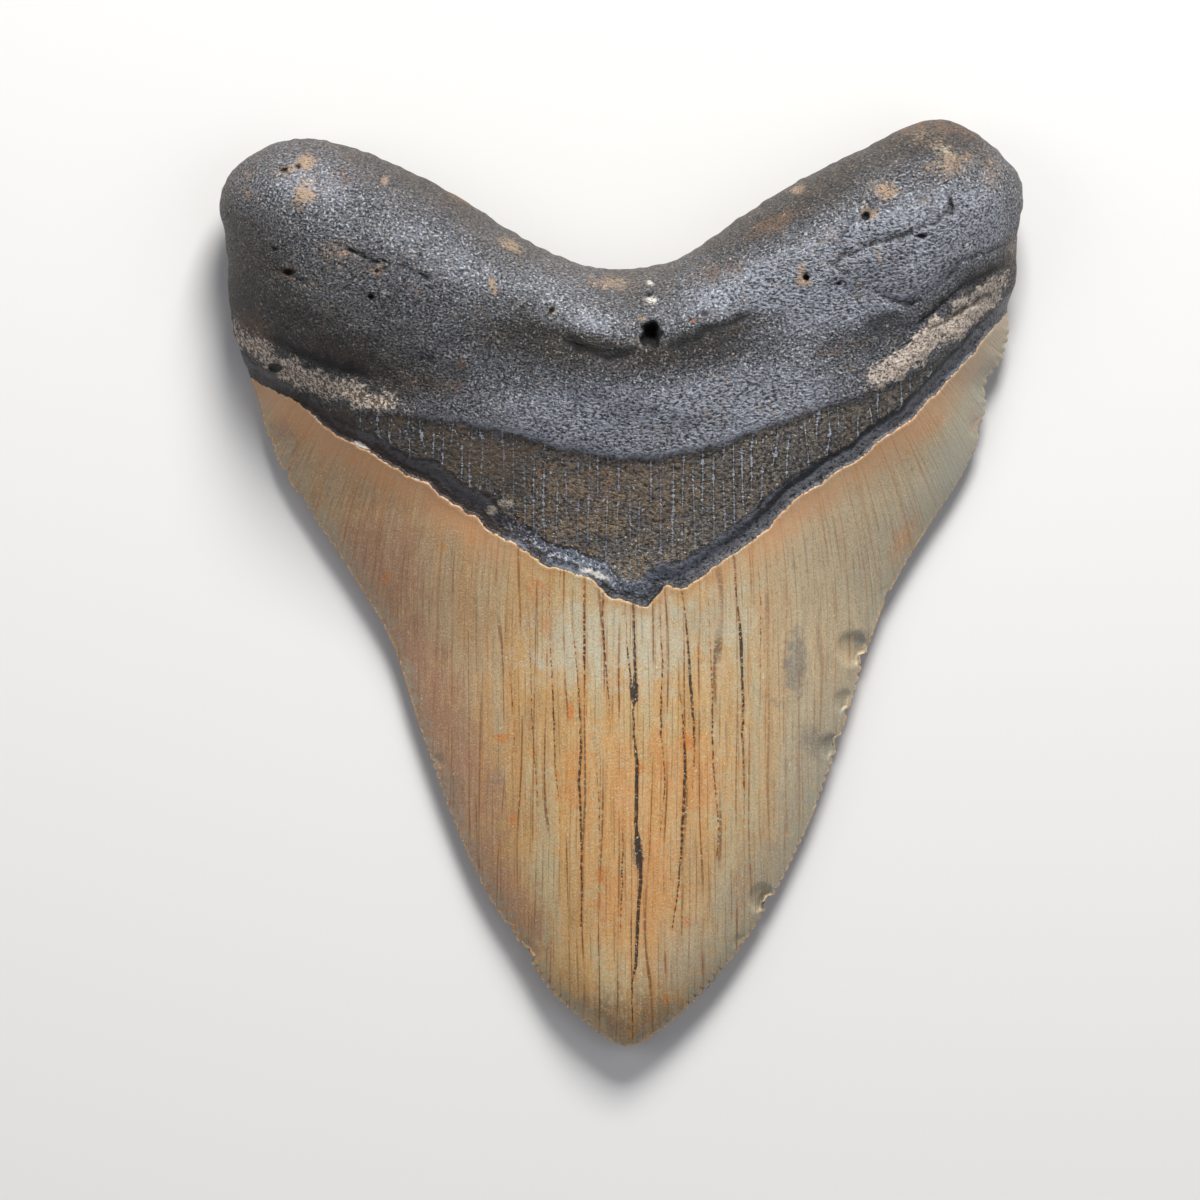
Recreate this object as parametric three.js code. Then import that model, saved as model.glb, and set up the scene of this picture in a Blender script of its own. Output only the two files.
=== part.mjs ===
// Fossil megalodon tooth, lying on its flatter outer face with the bulging inner face up.
// Millimetres, +Z up. The root points to +Y, the tip to -Y, and the origin is the bottom centre of the box.
import * as THREE from "three";

// Driving sizes
const toothHeight = 120.7;
const toothWidth = 104.6;
const serrationPitch = 1.25;
const serrationDepth = 0.26;
const rimPointSpacing = 1.7;
const topFillSpacing = 2.45;
const undersideFillSpacing = 4.2;
const closestPoints = 0.42;

// Heights above the ground
const cuttingEdgeHeight = 2.7;
const rootRimHeight = 7.4;
const tipLift = 1.0;
const baseHalfWidth = 46;
const crownBulge = 15.4;
const rootBulge = 17.8;
const foramenBulge = 3.4;
const crownBelly = 2.86;
const crownBellyPlace = -20;
const rootBelly = 7.6;

// Steps where the enamel, the dark band and the root meet
const enamelLip = 0.18;
const grooveDepth = 0.62;
const bandDepth = 0.4;
const rootStep = 0.95;

// The rim of the root, from the left shoulder over both lobes to the right shoulder
const rootRim = [
  [-47.0, 23.4], [-48.3, 26.9], [-50.5, 33.0], [-51.1, 38.5], [-51.5, 45.0], [-52.3, 49.3],
  [-51.0, 53.0], [-47.0, 56.4], [-41.2, 57.9], [-35.0, 56.7], [-28.7, 54.2], [-22.5, 51.1],
  [-13.1, 45.2], [-7.9, 42.5], [-2.7, 41.0], [2.5, 41.1], [7.7, 42.5], [16.1, 48.1],
  [25.2, 53.6], [31.1, 56.4], [37.8, 59.7], [41.5, 60.3], [45.3, 59.0], [49.0, 56.2],
  [51.7, 53.0], [52.3, 50.2], [51.5, 45.0], [51.4, 40.0], [50.2, 36.0],
];

// The right cutting edge, from the shoulder down to the tip
const rightEdge = [
  [50.2, 36.0], [50.5, 31.6], [49.4, 28.4], [48.0, 25.2], [46.5, 18.6], [44.1, 13.6],
  [38.9, 5.6], [34.5, -2.2], [31.9, -9.3], [29.2, -18.1], [25.6, -28.5], [21.6, -37.4],
  [18.0, -43.8], [13.1, -50.6], [7.2, -56.6], [2.8, -59.7], [0.8, -60.3],
];

// The left cutting edge, from the tip up to the shoulder
const leftEdge = [
  [0.8, -60.3], [-1.6, -59.4], [-5.3, -56.7], [-9.2, -53.1], [-13.6, -46.4], [-18.3, -39.0],
  [-22.9, -28.2], [-26.7, -17.3], [-30.0, -7.4], [-35.2, 1.4], [-40.4, 9.0], [-44.3, 15.2],
  [-46.4, 20.6], [-47.0, 23.4],
];

// The lower border of the root and the upper border of the enamel on the inner face
const rootBorder = [
  [-54, 32.5], [-46.7, 28.2], [-39.4, 24.3], [-29.3, 21.9], [-16.4, 19.8], [-5.5, 16.9],
  [2.5, 16.0], [11.8, 17.6], [25.0, 22.4], [37.5, 26.7], [44.7, 31.9], [49.8, 37.1], [54, 42],
];
const enamelBorder = [
  [-54, 30.0], [-46.7, 25.8], [-39.1, 21.2], [-28.7, 14.7], [-18.3, 8.0], [-9.6, 2.4],
  [-2.0, -1.2], [2.6, -2.9], [7.8, -0.6], [18.2, 6.6], [28.7, 15.2], [37.6, 21.3],
  [44.7, 28.9], [49.0, 33.9], [54, 39.5],
];

// The upper border of the enamel on the outer face, hidden underneath
const outerEnamelBorder = [
  [-54, 28.0], [-44.0, 25.5], [-30.0, 22.0], [-14.0, 17.5], [0.0, 15.0], [14.0, 17.5],
  [30.0, 23.5], [44.0, 30.5], [54, 36.0],
];

// Chips out of the cutting edges: place, half length along the edge, depth
const chips = [
  { x: 31.4, y: -9.6, reach: 1.7, depth: 1.0 },
  { x: 29.4, y: -16.8, reach: 1.1, depth: 0.6 },
  { x: 28.3, y: -20.6, reach: 1.4, depth: 0.8 },
  { x: 19.2, y: -41.4, reach: 1.6, depth: 0.9 },
  { x: 48.2, y: 25.8, reach: 1.8, depth: 0.8 },
  { x: 46.9, y: 20.2, reach: 1.2, depth: 0.5 },
  { x: 34.8, y: -1.6, reach: 1.0, depth: 0.4 },
  { x: -41.6, y: 11.0, reach: 1.1, depth: 0.3 },
  { x: -12.6, y: -48.2, reach: 1.5, depth: 0.5 },
  { x: -14.8, y: -44.6, reach: 1.0, depth: 0.3 },
];

// Holes in the root: the feeding hole at the centre and small worn pits
const pits = [
  { x: 3.8, y: 32.5, radius: 1.35, depth: 2.4 },
  { x: 31.7, y: 47.5, radius: 0.9, depth: 0.8 },
  { x: 23.8, y: 39.7, radius: 0.8, depth: 0.7 },
  { x: 40.2, y: 49.0, radius: 0.8, depth: 0.6 },
  { x: 38.9, y: 44.6, radius: 0.8, depth: 0.6 },
  { x: -9.0, y: 35.3, radius: 0.7, depth: 0.5 },
  { x: -43.7, y: 53.9, radius: 0.8, depth: 0.6 },
  { x: -43.0, y: 40.3, radius: 0.8, depth: 0.6 },
  { x: -32.4, y: 37.2, radius: 0.7, depth: 0.5 },
];

// Cracks and creases on the inner face: points along them, half width, depth
const creases = [
  { halfWidth: 0.55, depth: 0.5, path: [[-37.2, 44.9], [-34.2, 42.9], [-30.7, 41.9], [-24.8, 39.4]] },
  { halfWidth: 0.9, depth: 0.45, path: [[-7.9, 31.3], [-2.5, 30.2], [2.2, 31.4]] },
  { halfWidth: 0.9, depth: 0.4, path: [[5.6, 31.0], [8.2, 30.8], [10.6, 31.6]] },
  { halfWidth: 0.45, depth: 0.3, path: [[1.7, -4.2], [1.5, -16.2], [2.0, -28.0], [1.9, -45.0], [0.8, -55.5]] },
];

// A number that changes smoothly from 0 to 1 while x goes from a to b.
function smoothStep(a, b, x) {
  const t = THREE.MathUtils.clamp((x - a) / (b - a), 0, 1);
  return t * t * (3 - 2 * t);
}

// A smooth curve through points in the plane.
function curveThrough(points) {
  const vectors = points.map(([x, y]) => new THREE.Vector3(x, y, 0));
  return new THREE.CatmullRomCurve3(vectors, false, "centripetal");
}

// A function that gives the height of a left-to-right line at any x.
function borderFunction(points) {
  const samples = curveThrough(points).getPoints(points.length * 8);
  return (x) => {
    let i = 1;
    while (i < samples.length - 1 && samples[i].x < x) i++;
    const a = samples[i - 1];
    const b = samples[i];
    return THREE.MathUtils.lerp(a.y, b.y, THREE.MathUtils.clamp((x - a.x) / (b.x - a.x), 0, 1));
  };
}

const rootBorderAt = borderFunction(rootBorder);
const enamelBorderAt = borderFunction(enamelBorder);
const outerEnamelBorderAt = borderFunction(outerEnamelBorder);
const rightEdgeAt = borderFunction(rightEdge.slice(1).reverse().map(([x, y]) => [y, x]));
const leftEdgeAt = borderFunction(leftEdge.map(([x, y]) => [y, x]));

// Distance across a sloping border, positive on the root side of it.
function acrossBorder(borderAt, x, y) {
  const step = 0.5;
  const slope = (borderAt(x + step) - borderAt(x - step)) / (2 * step);
  return (y - borderAt(x)) / Math.hypot(1, slope);
}

// The plain outline without serrations or chips, used to measure how deep inside a point is.
const plainRim = curveThrough(rootRim).getSpacedPoints(150).slice(0, -1);
const plainRight = curveThrough(rightEdge).getSpacedPoints(90).slice(0, -1);
const plainLeft = curveThrough(leftEdge).getSpacedPoints(90).slice(0, -1);
const plainOutline = [...plainRim, ...plainRight, ...plainLeft].map((p) => [p.x, p.y]);

// Distance from a point to one straight piece of a line.
function distanceToPiece(x, y, [ax, ay], [bx, by]) {
  const length2 = (bx - ax) ** 2 + (by - ay) ** 2;
  const t = THREE.MathUtils.clamp(((x - ax) * (bx - ax) + (y - ay) * (by - ay)) / length2, 0, 1);
  return Math.hypot(x - ax - t * (bx - ax), y - ay - t * (by - ay));
}

function distanceToPath(x, y, path, closed) {
  let nearest = Infinity;
  for (let i = closed ? 0 : 1; i < path.length; i++)
    nearest = Math.min(nearest, distanceToPiece(x, y, path[(i || path.length) - 1], path[i]));
  return nearest;
}

function isInside(x, y, polygon) {
  let inside = false;
  for (let i = 0; i < polygon.length; i++) {
    const [ax, ay] = polygon[i];
    const [bx, by] = polygon[(i + 1) % polygon.length];
    if (ay > y !== by > y && x < ax + ((y - ay) * (bx - ax)) / (by - ay)) inside = !inside;
  }
  return inside;
}

// How far across the crown a point is: 0 on the middle line, 1 on a cutting edge.
function acrossCrown(x, y) {
  const left = leftEdgeAt(y);
  const right = rightEdgeAt(y);
  return Math.min(1, Math.abs((2 * x - left - right) / (right - left)));
}

// Height of the outline itself: the cutting edges lie low and the rim of the root is half way up it.
function rimHeight(x, y) {
  const shoulder = 24 + 7 * smoothStep(-30, 30, x) - 4 * Math.exp(-((x / 16) ** 2));
  const root = smoothStep(shoulder, shoulder + 17, y);
  return cuttingEdgeHeight + (rootRimHeight - cuttingEdgeHeight) * root + tipLift * smoothStep(-38, -60, y);
}

// A rounded edge: rises from 0 at the outline to 1 at the given distance inside it.
function roundedEdge(distance, radius) {
  const t = Math.min(1, distance / radius);
  return Math.max(0, 1 - (1 - t) ** 2) ** 0.56;
}

// Low lumps of the root, in millimetres.
function lumps(x, y) {
  const broad = Math.sin(x / 5.1 + 0.6) * Math.cos(y / 4.3 + x / 17);
  const small = Math.sin(x / 2.3 + y / 3.1) * Math.cos(y / 2.1 - x / 4.4);
  return 0.24 * broad + 0.12 * small;
}

// The crown is thicker where it is wider.
function crownHeight(x, y) {
  const halfWidth = (rightEdgeAt(y) - leftEdgeAt(y)) / 2;
  const u = acrossCrown(x, y);
  return crownBulge * (halfWidth / baseHalfWidth) ** 0.8 * (1 - u ** 2.1) ** 0.86;
}

function rootHeight(x, y, inside) {
  const spread = Math.abs(x) / (toothWidth / 2);
  const arm = rootBulge * (1 - 0.3 * spread ** 1.6);
  const middle = foramenBulge * Math.exp(-((x / 17) ** 2) - ((y - 27) / 10) ** 2);
  return (arm + middle) * roundedEdge(inside, 14);
}

// The height of the inner face, which is up.
function topHeight(x, y) {
  const inside = distanceToPath(x, y, plainOutline, true);
  const fromEnamel = acrossBorder(enamelBorderAt, x, y);
  const fromRoot = acrossBorder(rootBorderAt, x, y);
  const root = smoothStep(-13, 11, fromRoot);
  let height = THREE.MathUtils.lerp(crownHeight(x, y), rootHeight(x, y, inside), root);
  const shallow = smoothStep(0, 4, inside);
  height += shallow * enamelLip * Math.exp(-(((fromEnamel + 0.6) / 0.8) ** 2));
  height -= shallow * grooveDepth * smoothStep(-0.1, 0.4, fromEnamel) * (1 - smoothStep(1.2, 3.4, fromEnamel));
  height -= shallow * bandDepth * smoothStep(0, 2.5, fromEnamel) * (1 - smoothStep(-0.8, 0.9, fromRoot));
  height += shallow * (rootStep - bandDepth) * smoothStep(-0.8, 0.9, fromRoot) * (1 - smoothStep(4, 14, fromRoot));
  height += shallow * smoothStep(0, 4, fromRoot) * lumps(x, y);
  for (const { x: px, y: py, radius, depth } of pits)
    height -= depth * (1 - smoothStep(0.35 * radius, radius, Math.hypot(x - px, y - py)));
  for (const { path, halfWidth, depth } of creases)
    height -= depth * Math.max(0, 1 - distanceToPath(x, y, path, false) / halfWidth);
  return rimHeight(x, y) + Math.max(0.12, height);
}

// The height of the outer face underneath, cut off flat where it touches the ground.
function undersideHeight(x, y) {
  const inside = distanceToPath(x, y, plainOutline, true);
  const fromEnamel = acrossBorder(outerEnamelBorderAt, x, y);
  const u = acrossCrown(x, y);
  const along = Math.max(0, 1 - ((y - crownBellyPlace) / 62) ** 2);
  const crown = crownBelly * along * (1 - u ** 2) ** 0.8;
  const root = rootBelly * roundedEdge(inside, 12);
  const hollow = 1.5 * Math.exp(-((x / 20) ** 2) - ((y - 19) / 9) ** 2);
  const notchHollow = 1.1 * Math.exp(-((x / 9) ** 2) - ((y - 36) / 8) ** 2);
  let depth = THREE.MathUtils.lerp(crown, root, smoothStep(-6, 12, fromEnamel));
  depth -= smoothStep(1, 5, inside) * (hollow + notchHollow);
  depth -= smoothStep(1, 5, inside) * 0.35 * smoothStep(-0.2, 0.5, fromEnamel) * (1 - smoothStep(2, 6, fromEnamel));
  depth += smoothStep(2, 6, inside) * smoothStep(2, 8, fromEnamel) * (1.8 * lumps(x + 9, y) - 0.3);
  return Math.max(0, rimHeight(x, y) - Math.max(0.12, depth));
}

// Points along one cutting edge, with rounded serrations and chips cut into it.
function serratedEdge(points) {
  const curve = curveThrough(points);
  const length = curve.getLength();
  const count = Math.round(length / serrationPitch);
  const out = [];
  for (let i = 0; i < count; i++)
    for (const [phase, rise] of [[0, 0], [0.3, 1], [0.7, 1]]) {
      const t = (i + phase) / count;
      const p = curve.getPointAt(t);
      const tangent = curve.getTangentAt(t);
      const fromEnds = Math.min(t, 1 - t) * length;
      let inward = serrationDepth * smoothStep(0.5, 6, fromEnds) * (1 - rise);
      for (const chip of chips) {
        const near = Math.hypot(p.x - chip.x, p.y - chip.y) / chip.reach;
        inward += chip.depth * (1 - smoothStep(0.35, 1, near));
      }
      out.push([p.x + tangent.y * inward, p.y - tangent.x * inward]);
    }
  return out;
}

// Points on a line parallel to the outline, a given distance inside it.
function insetPoints(polyline, inset, every, phase = 0.5) {
  const curve = curveThrough(polyline);
  const count = Math.round(curve.getLength() / every);
  const out = [];
  for (let i = 0; i < count; i++) {
    const t = (i + phase) / count;
    const p = curve.getPointAt(t);
    const tangent = curve.getTangentAt(t);
    out.push([p.x + tangent.y * inset, p.y - tangent.x * inset]);
  }
  return out;
}

// Points beside a border, at one distance across it.
function borderRow(points, offset, every) {
  return insetPoints(points, -offset, every);
}

// Points that follow a crease: its floor and both of its sides.
function creasePoints({ path, halfWidth }) {
  return [0, -halfWidth, halfWidth].flatMap((side) => insetPoints(path, side, Math.max(1.2, halfWidth * 2)));
}

function pitPoints({ x, y, radius }) {
  const out = [[x, y]];
  for (const [share, count] of [[0.4, 6], [1, 9], [1.7, 9]])
    for (let i = 0; i < count; i++) {
      const angle = (2 * Math.PI * i) / count;
      out.push([x + share * radius * Math.cos(angle), y + share * radius * Math.sin(angle)]);
    }
  return out;
}

// A slightly uneven triangular grid over the whole tooth.
function fillPoints(spacing) {
  const out = [];
  let row = 0;
  for (let y = -toothHeight / 2; y < toothHeight / 2; y += spacing * 0.866, row++)
    for (let x = -toothWidth / 2 + (row % 2) * spacing * 0.5; x < toothWidth / 2; x += spacing) {
      const sway = 0.12 * spacing;
      out.push([x + sway * Math.sin(3.1 * y + 1.7 * x), y + sway * Math.cos(2.3 * x - 1.3 * y)]);
    }
  return out;
}

// Keeps the points that lie inside the outline and not too near one that is already kept.
function choosePoints(outline, groups) {
  const kept = [];
  for (const { points, apart } of groups)
    for (const [x, y] of points) {
      if (!isInside(x, y, outline)) continue;
      if (distanceToPath(x, y, outline, true) < Math.min(apart * 0.35, closestPoints)) continue;
      if (kept.some(([kx, ky]) => Math.hypot(x - kx, y - ky) < apart)) continue;
      kept.push([x, y]);
    }
  return kept;
}

// Delaunay triangles of the points, by adding them one at a time.
function triangulate(points) {
  const far = 1000;
  const all = [...points, [-far, -far], [far, -far], [0, far]];
  const n = points.length;
  const circle = (a, b, c) => {
    const [ax, ay] = all[a];
    const bx = all[b][0] - ax;
    const by = all[b][1] - ay;
    const cx = all[c][0] - ax;
    const cy = all[c][1] - ay;
    const twice = 2 * (bx * cy - by * cx);
    const ux = (cy * (bx * bx + by * by) - by * (cx * cx + cy * cy)) / twice;
    const uy = (bx * (cx * cx + cy * cy) - cx * (bx * bx + by * by)) / twice;
    return { corners: [a, b, c], x: ax + ux, y: ay + uy, r2: ux * ux + uy * uy };
  };
  let triangles = [circle(n, n + 1, n + 2)];
  for (let i = 0; i < n; i++) {
    const [x, y] = all[i];
    const edges = new Map();
    const rest = [];
    for (const t of triangles) {
      if ((x - t.x) ** 2 + (y - t.y) ** 2 >= t.r2) {
        rest.push(t);
        continue;
      }
      for (let k = 0; k < 3; k++) {
        const a = t.corners[k];
        const b = t.corners[(k + 1) % 3];
        if (!edges.delete(b + "_" + a)) edges.set(a + "_" + b, [a, b]);
      }
    }
    for (const [a, b] of edges.values()) rest.push(circle(a, b, i));
    triangles = rest;
  }
  return triangles.map((t) => t.corners).filter((corners) => corners.every((c) => c < n));
}

// The triangles of one face: outline points first, then the points inside it.
function faceTriangles(outline, inner) {
  const points = [...outline, ...inner];
  return triangulate(points).filter(([a, b, c]) => {
    const x = (points[a][0] + points[b][0] + points[c][0]) / 3;
    const y = (points[a][1] + points[b][1] + points[c][1]) / 3;
    return isInside(x, y, outline);
  });
}

function toothGeometry() {
  const rim = curveThrough(rootRim);
  const rimCount = Math.round(rim.getLength() / rimPointSpacing);
  const rimPoints = rim.getSpacedPoints(rimCount).slice(0, -1).map((p) => [p.x, p.y]);
  const outline = [...rimPoints, ...serratedEdge(rightEdge), ...serratedEdge(leftEdge)];

  const edgeRows = (inset, every) => [...insetPoints(rightEdge, inset, every), ...insetPoints(leftEdge, inset, every)];
  const rimRows = [0.17, 0.65, 1.6, 3.2, 5.6].flatMap((inset) =>
    insetPoints(rootRim, inset, rimPointSpacing, inset < 1 ? 0 : 0.5),
  );
  const enamelRows = [-1.4, -0.5, -0.1, 0.4, 1.3, 3.2].flatMap((offset) => borderRow(enamelBorder, offset, 1.7));
  const rootRows = [-0.8, 0.9].flatMap((offset) => borderRow(rootBorder, offset, 2.2));
  const outerRows = [-0.2, 0.5].flatMap((offset) => borderRow(outerEnamelBorder, offset, 3.2));

  const topPoints = choosePoints(outline, [
    { points: pits.flatMap(pitPoints), apart: 0.3 },
    { points: creases.flatMap(creasePoints), apart: 0.42 },
    { points: rimRows, apart: 0.4 },
    { points: edgeRows(1.0, 1.25), apart: 0.6 },
    { points: enamelRows, apart: 0.45 },
    { points: edgeRows(2.6, 2.2), apart: 1.2 },
    { points: rootRows, apart: 1.2 },
    { points: fillPoints(topFillSpacing), apart: 1.5 },
  ]);
  const undersidePoints = choosePoints(outline, [
    { points: rimRows, apart: 0.4 },
    { points: edgeRows(1.0, 1.25), apart: 0.6 },
    { points: edgeRows(2.8, 2.6), apart: 1.2 },
    { points: outerRows, apart: 0.6 },
    { points: fillPoints(undersideFillSpacing), apart: 2.2 },
  ]);

  const vertices = [
    ...outline.map(([x, y]) => [x, y, rimHeight(x, y)]),
    ...topPoints.map(([x, y]) => [x, y, topHeight(x, y)]),
    ...undersidePoints.map(([x, y]) => [x, y, undersideHeight(x, y)]),
  ];
  const index = [];
  for (const [a, b, c] of faceTriangles(outline, topPoints)) index.push(a, b, c);
  const below = (i) => (i < outline.length ? i : i + topPoints.length);
  for (const [a, b, c] of faceTriangles(outline, undersidePoints)) index.push(below(a), below(c), below(b));

  const geometry = new THREE.BufferGeometry();
  geometry.setAttribute("position", new THREE.Float32BufferAttribute(vertices.flat(), 3));
  geometry.setIndex(index);
  geometry.computeBoundingBox();
  const { min, max } = geometry.boundingBox;
  geometry.translate(-(min.x + max.x) / 2, -(min.y + max.y) / 2, -min.z);
  geometry.computeVertexNormals();
  return geometry;
}

const fossil = new THREE.MeshStandardMaterial({ color: 0x8a7658, roughness: 0.55 });
const tooth = new THREE.Mesh(toothGeometry(), fossil);
tooth.name = "tooth";

const group = new THREE.Group();
group.add(tooth);
export default group;
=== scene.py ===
# %% [markdown]
# # A fossil megalodon tooth
# The real thing is one piece of stone that grew as one tooth. It has a heavy dark root with
# two lobes, a narrow dark band below it and a wide tan blade with saw teeth on both edges.
# It lies on its flat outer face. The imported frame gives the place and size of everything.

# %% Load the frame
import math
import bpy
import numpy as np
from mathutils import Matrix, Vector


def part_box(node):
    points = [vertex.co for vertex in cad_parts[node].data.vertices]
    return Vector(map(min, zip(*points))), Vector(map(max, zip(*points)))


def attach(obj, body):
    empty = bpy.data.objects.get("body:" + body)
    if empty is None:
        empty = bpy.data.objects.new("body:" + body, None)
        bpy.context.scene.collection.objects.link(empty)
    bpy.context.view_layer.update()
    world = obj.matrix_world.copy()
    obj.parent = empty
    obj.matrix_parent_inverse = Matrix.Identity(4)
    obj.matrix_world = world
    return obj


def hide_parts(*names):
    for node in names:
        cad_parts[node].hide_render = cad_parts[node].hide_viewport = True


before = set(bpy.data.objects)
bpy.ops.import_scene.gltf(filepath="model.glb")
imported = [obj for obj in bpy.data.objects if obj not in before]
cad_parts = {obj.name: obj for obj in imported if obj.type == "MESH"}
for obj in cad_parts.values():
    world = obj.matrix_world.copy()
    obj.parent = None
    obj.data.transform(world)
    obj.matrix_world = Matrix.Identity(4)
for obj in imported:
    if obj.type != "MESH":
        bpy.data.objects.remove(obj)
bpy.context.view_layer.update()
frame_low, frame_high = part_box("tooth")
MM = 0.001
tooth_width = (frame_high[0] - frame_low[0]) / MM
tooth_height = (frame_high[1] - frame_low[1]) / MM
print("tooth in the frame, mm:", round(tooth_width, 1), round(tooth_height, 1))

# %% [markdown]
# ## The camera
# The photograph looks straight at the inner face, so the camera looks straight down on the
# lying tooth, with the root at the top of the picture. It stands far off with a long lens,
# which keeps the outline free of perspective. The picture is taken to be 1200 pixels square.

# %% Camera
photo_side = 1200
pixels_per_mm = 7.69
tooth_middle_in_photo = (621.25, 583.5)
picture_side = photo_side / pixels_per_mm * MM
camera_distance = 3.0
face_height = 6 * MM
look_x = (photo_side / 2 - tooth_middle_in_photo[0]) / pixels_per_mm * MM
look_y = (tooth_middle_in_photo[1] - photo_side / 2) / pixels_per_mm * MM
camera_place = (look_x, look_y, face_height + camera_distance)

bpy.ops.object.select_all(action="DESELECT")
bpy.ops.object.camera_add(location=camera_place, rotation=(0, 0, 0))
camera = bpy.context.object
camera.name = "camera"
camera.data.lens = camera.data.sensor_width * camera_distance / picture_side
camera.data.clip_start = 10 * MM
bpy.context.scene.camera = camera
print("lens, mm:", round(camera.data.lens))

# %% [markdown]
# ## Lines that shape the tooth
# A tooth like this is read from a few lines: the rim of the root, the two cutting edges, and
# the borders of root and enamel. Each is a smooth curve through a few points, in millimetres
# from the middle of the tooth, so one change of a point moves everything that follows it.

# %% Curves through a few points
def smooth_step(a, b, x):
    t = np.clip((x - a) / (b - a), 0, 1)
    return t * t * (3 - 2 * t)


def plateau(a, b, c, d, x):
    """Rises from 0 at a to 1 at b, and falls from 1 at c to 0 at d."""
    return smooth_step(a, b, x) * (1 - smooth_step(c, d, x))


def mix(a, b, share):
    return a + (b - a) * share


def curve_through(points, steps=14):
    """Points along the smooth curve that passes through the given ones."""
    p = np.array(points, float)
    p = np.vstack([2 * p[0] - p[1], p, 2 * p[-1] - p[-2]])
    t = np.linspace(0, 1, steps, endpoint=False)[:, None]
    out = []
    for a, b, c, d in zip(p, p[1:], p[2:], p[3:]):
        ta = np.linalg.norm(b - a) ** 0.5
        tb = np.linalg.norm(c - b) ** 0.5
        tc = np.linalg.norm(d - c) ** 0.5
        start = tb * ((b - a) / ta - (c - a) / (ta + tb) + (c - b) / tb)
        end = tb * ((c - b) / tb - (d - b) / (tb + tc) + (d - c) / tc)
        out.append(
            (2 * t**3 - 3 * t**2 + 1) * b + (t**3 - 2 * t**2 + t) * start
            + (3 * t**2 - 2 * t**3) * c + (t**3 - t**2) * end
        )
    return np.vstack([*out, p[-2:-1]])


def lengths_along(line):
    steps = np.linalg.norm(np.diff(line, axis=0), axis=1)
    return np.concatenate([[0], np.cumsum(steps)])


def points_at(line, s, at):
    """The points that lie at some lengths along a line."""
    return np.column_stack([np.interp(at, s, line[:, k]) for k in (0, 1)])


def even_points(line, count):
    """Points spread evenly along a line."""
    s = lengths_along(line)
    return points_at(line, s, np.linspace(0, s[-1], count))


# %% Outline
root_rim = curve_through([
    (-47.0, 23.4), (-48.3, 26.9), (-50.5, 33.0), (-51.1, 38.5), (-51.5, 45.0), (-52.3, 49.3),
    (-51.0, 53.0), (-47.0, 56.4), (-41.2, 57.9), (-35.0, 56.7), (-28.7, 54.2), (-22.5, 51.1),
    (-13.1, 45.2), (-7.9, 42.5), (-2.7, 41.0), (2.5, 41.1), (7.7, 42.5), (16.1, 48.1), (25.2, 53.6),
    (31.1, 56.4), (37.8, 59.7), (41.5, 60.3), (45.3, 59.0), (49.0, 56.2), (51.7, 53.0), (52.3, 50.2),
    (51.5, 45.0), (51.4, 40.0), (50.2, 36.0),
])
right_edge = curve_through([
    (50.2, 36.0), (50.5, 31.6), (49.4, 28.4), (48.0, 25.2), (46.5, 18.6), (44.1, 13.6), (38.9, 5.6),
    (34.5, -2.2), (31.9, -9.3), (29.2, -18.1), (25.6, -28.5), (21.6, -37.4), (18.0, -43.8),
    (13.1, -50.6), (7.2, -56.6), (2.8, -59.7), (0.8, -60.3),
])
left_edge = curve_through([
    (0.8, -60.3), (-1.6, -59.4), (-5.3, -56.7), (-9.2, -53.1), (-13.6, -46.4), (-18.3, -39.0),
    (-22.9, -28.2), (-26.7, -17.3), (-30.0, -7.4), (-35.2, 1.4), (-40.4, 9.0), (-44.3, 15.2),
    (-46.4, 20.6), (-47.0, 23.4),
])
outline = np.vstack([root_rim[:-1], right_edge[:-1], left_edge[:-1]])
closed_outline = np.vstack([outline, outline[:1]])
outline_s = lengths_along(closed_outline)
rim_length = lengths_along(root_rim)[-1]
right_length = lengths_along(right_edge)[-1]
left_length = lengths_along(left_edge)[-1]
print("length of the cutting edges, mm:", round(right_length), round(left_length))

# %% Borders of root and enamel
root_border = curve_through([
    (-54, 32.5), (-46.7, 28.4), (-43.0, 25.6), (-39.4, 24.2), (-34.3, 22.4), (-29.3, 21.8),
    (-22.0, 20.8), (-16.4, 19.8), (-10.9, 18.3), (-5.5, 16.9), (2.5, 16.0), (7.4, 16.6), (11.8, 17.6),
    (16.3, 19.4), (20.7, 20.8), (25.0, 22.4), (29.4, 23.5), (33.8, 25.1), (37.5, 26.7), (41.1, 28.9),
    (44.7, 31.9), (49.8, 37.1), (54, 42),
], steps=5)
enamel_border = curve_through([
    (-54, 30.0), (-46.7, 25.9), (-45.0, 25.0), (-42.8, 23.9), (-41.1, 22.9), (-39.1, 21.1),
    (-37.5, 19.6), (-35.0, 18.3), (-32.9, 17.3), (-30.7, 15.9), (-28.7, 14.7), (-26.8, 13.7),
    (-24.8, 12.7), (-23.3, 11.2), (-21.6, 10.1), (-18.3, 8.3), (-17.8, 7.4), (-15.7, 6.1), (-13.8, 5.2),
    (-12.1, 4.0), (-9.6, 2.2), (-8.2, 2.2), (-6.0, 1.4), (-3.4, 0.3), (-2.0, -1.4), (-0.1, -2.1),
    (1.6, -2.5), (3.3, -2.9), (4.3, -2.0), (5.7, -0.4), (7.8, -0.7), (9.5, 0.4), (11.6, 1.8),
    (14.0, 3.4), (18.2, 6.5), (21.1, 9.4), (23.3, 11.4), (25.2, 12.6), (28.7, 15.2), (31.1, 16.3),
    (32.5, 17.8), (34.3, 19.1), (35.6, 19.9), (37.6, 21.2), (38.9, 22.9), (40.2, 24.1), (41.6, 25.7),
    (44.7, 28.9), (46.4, 30.9), (47.6, 32.5), (49.0, 33.9), (54, 39.5),
], steps=4)
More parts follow.
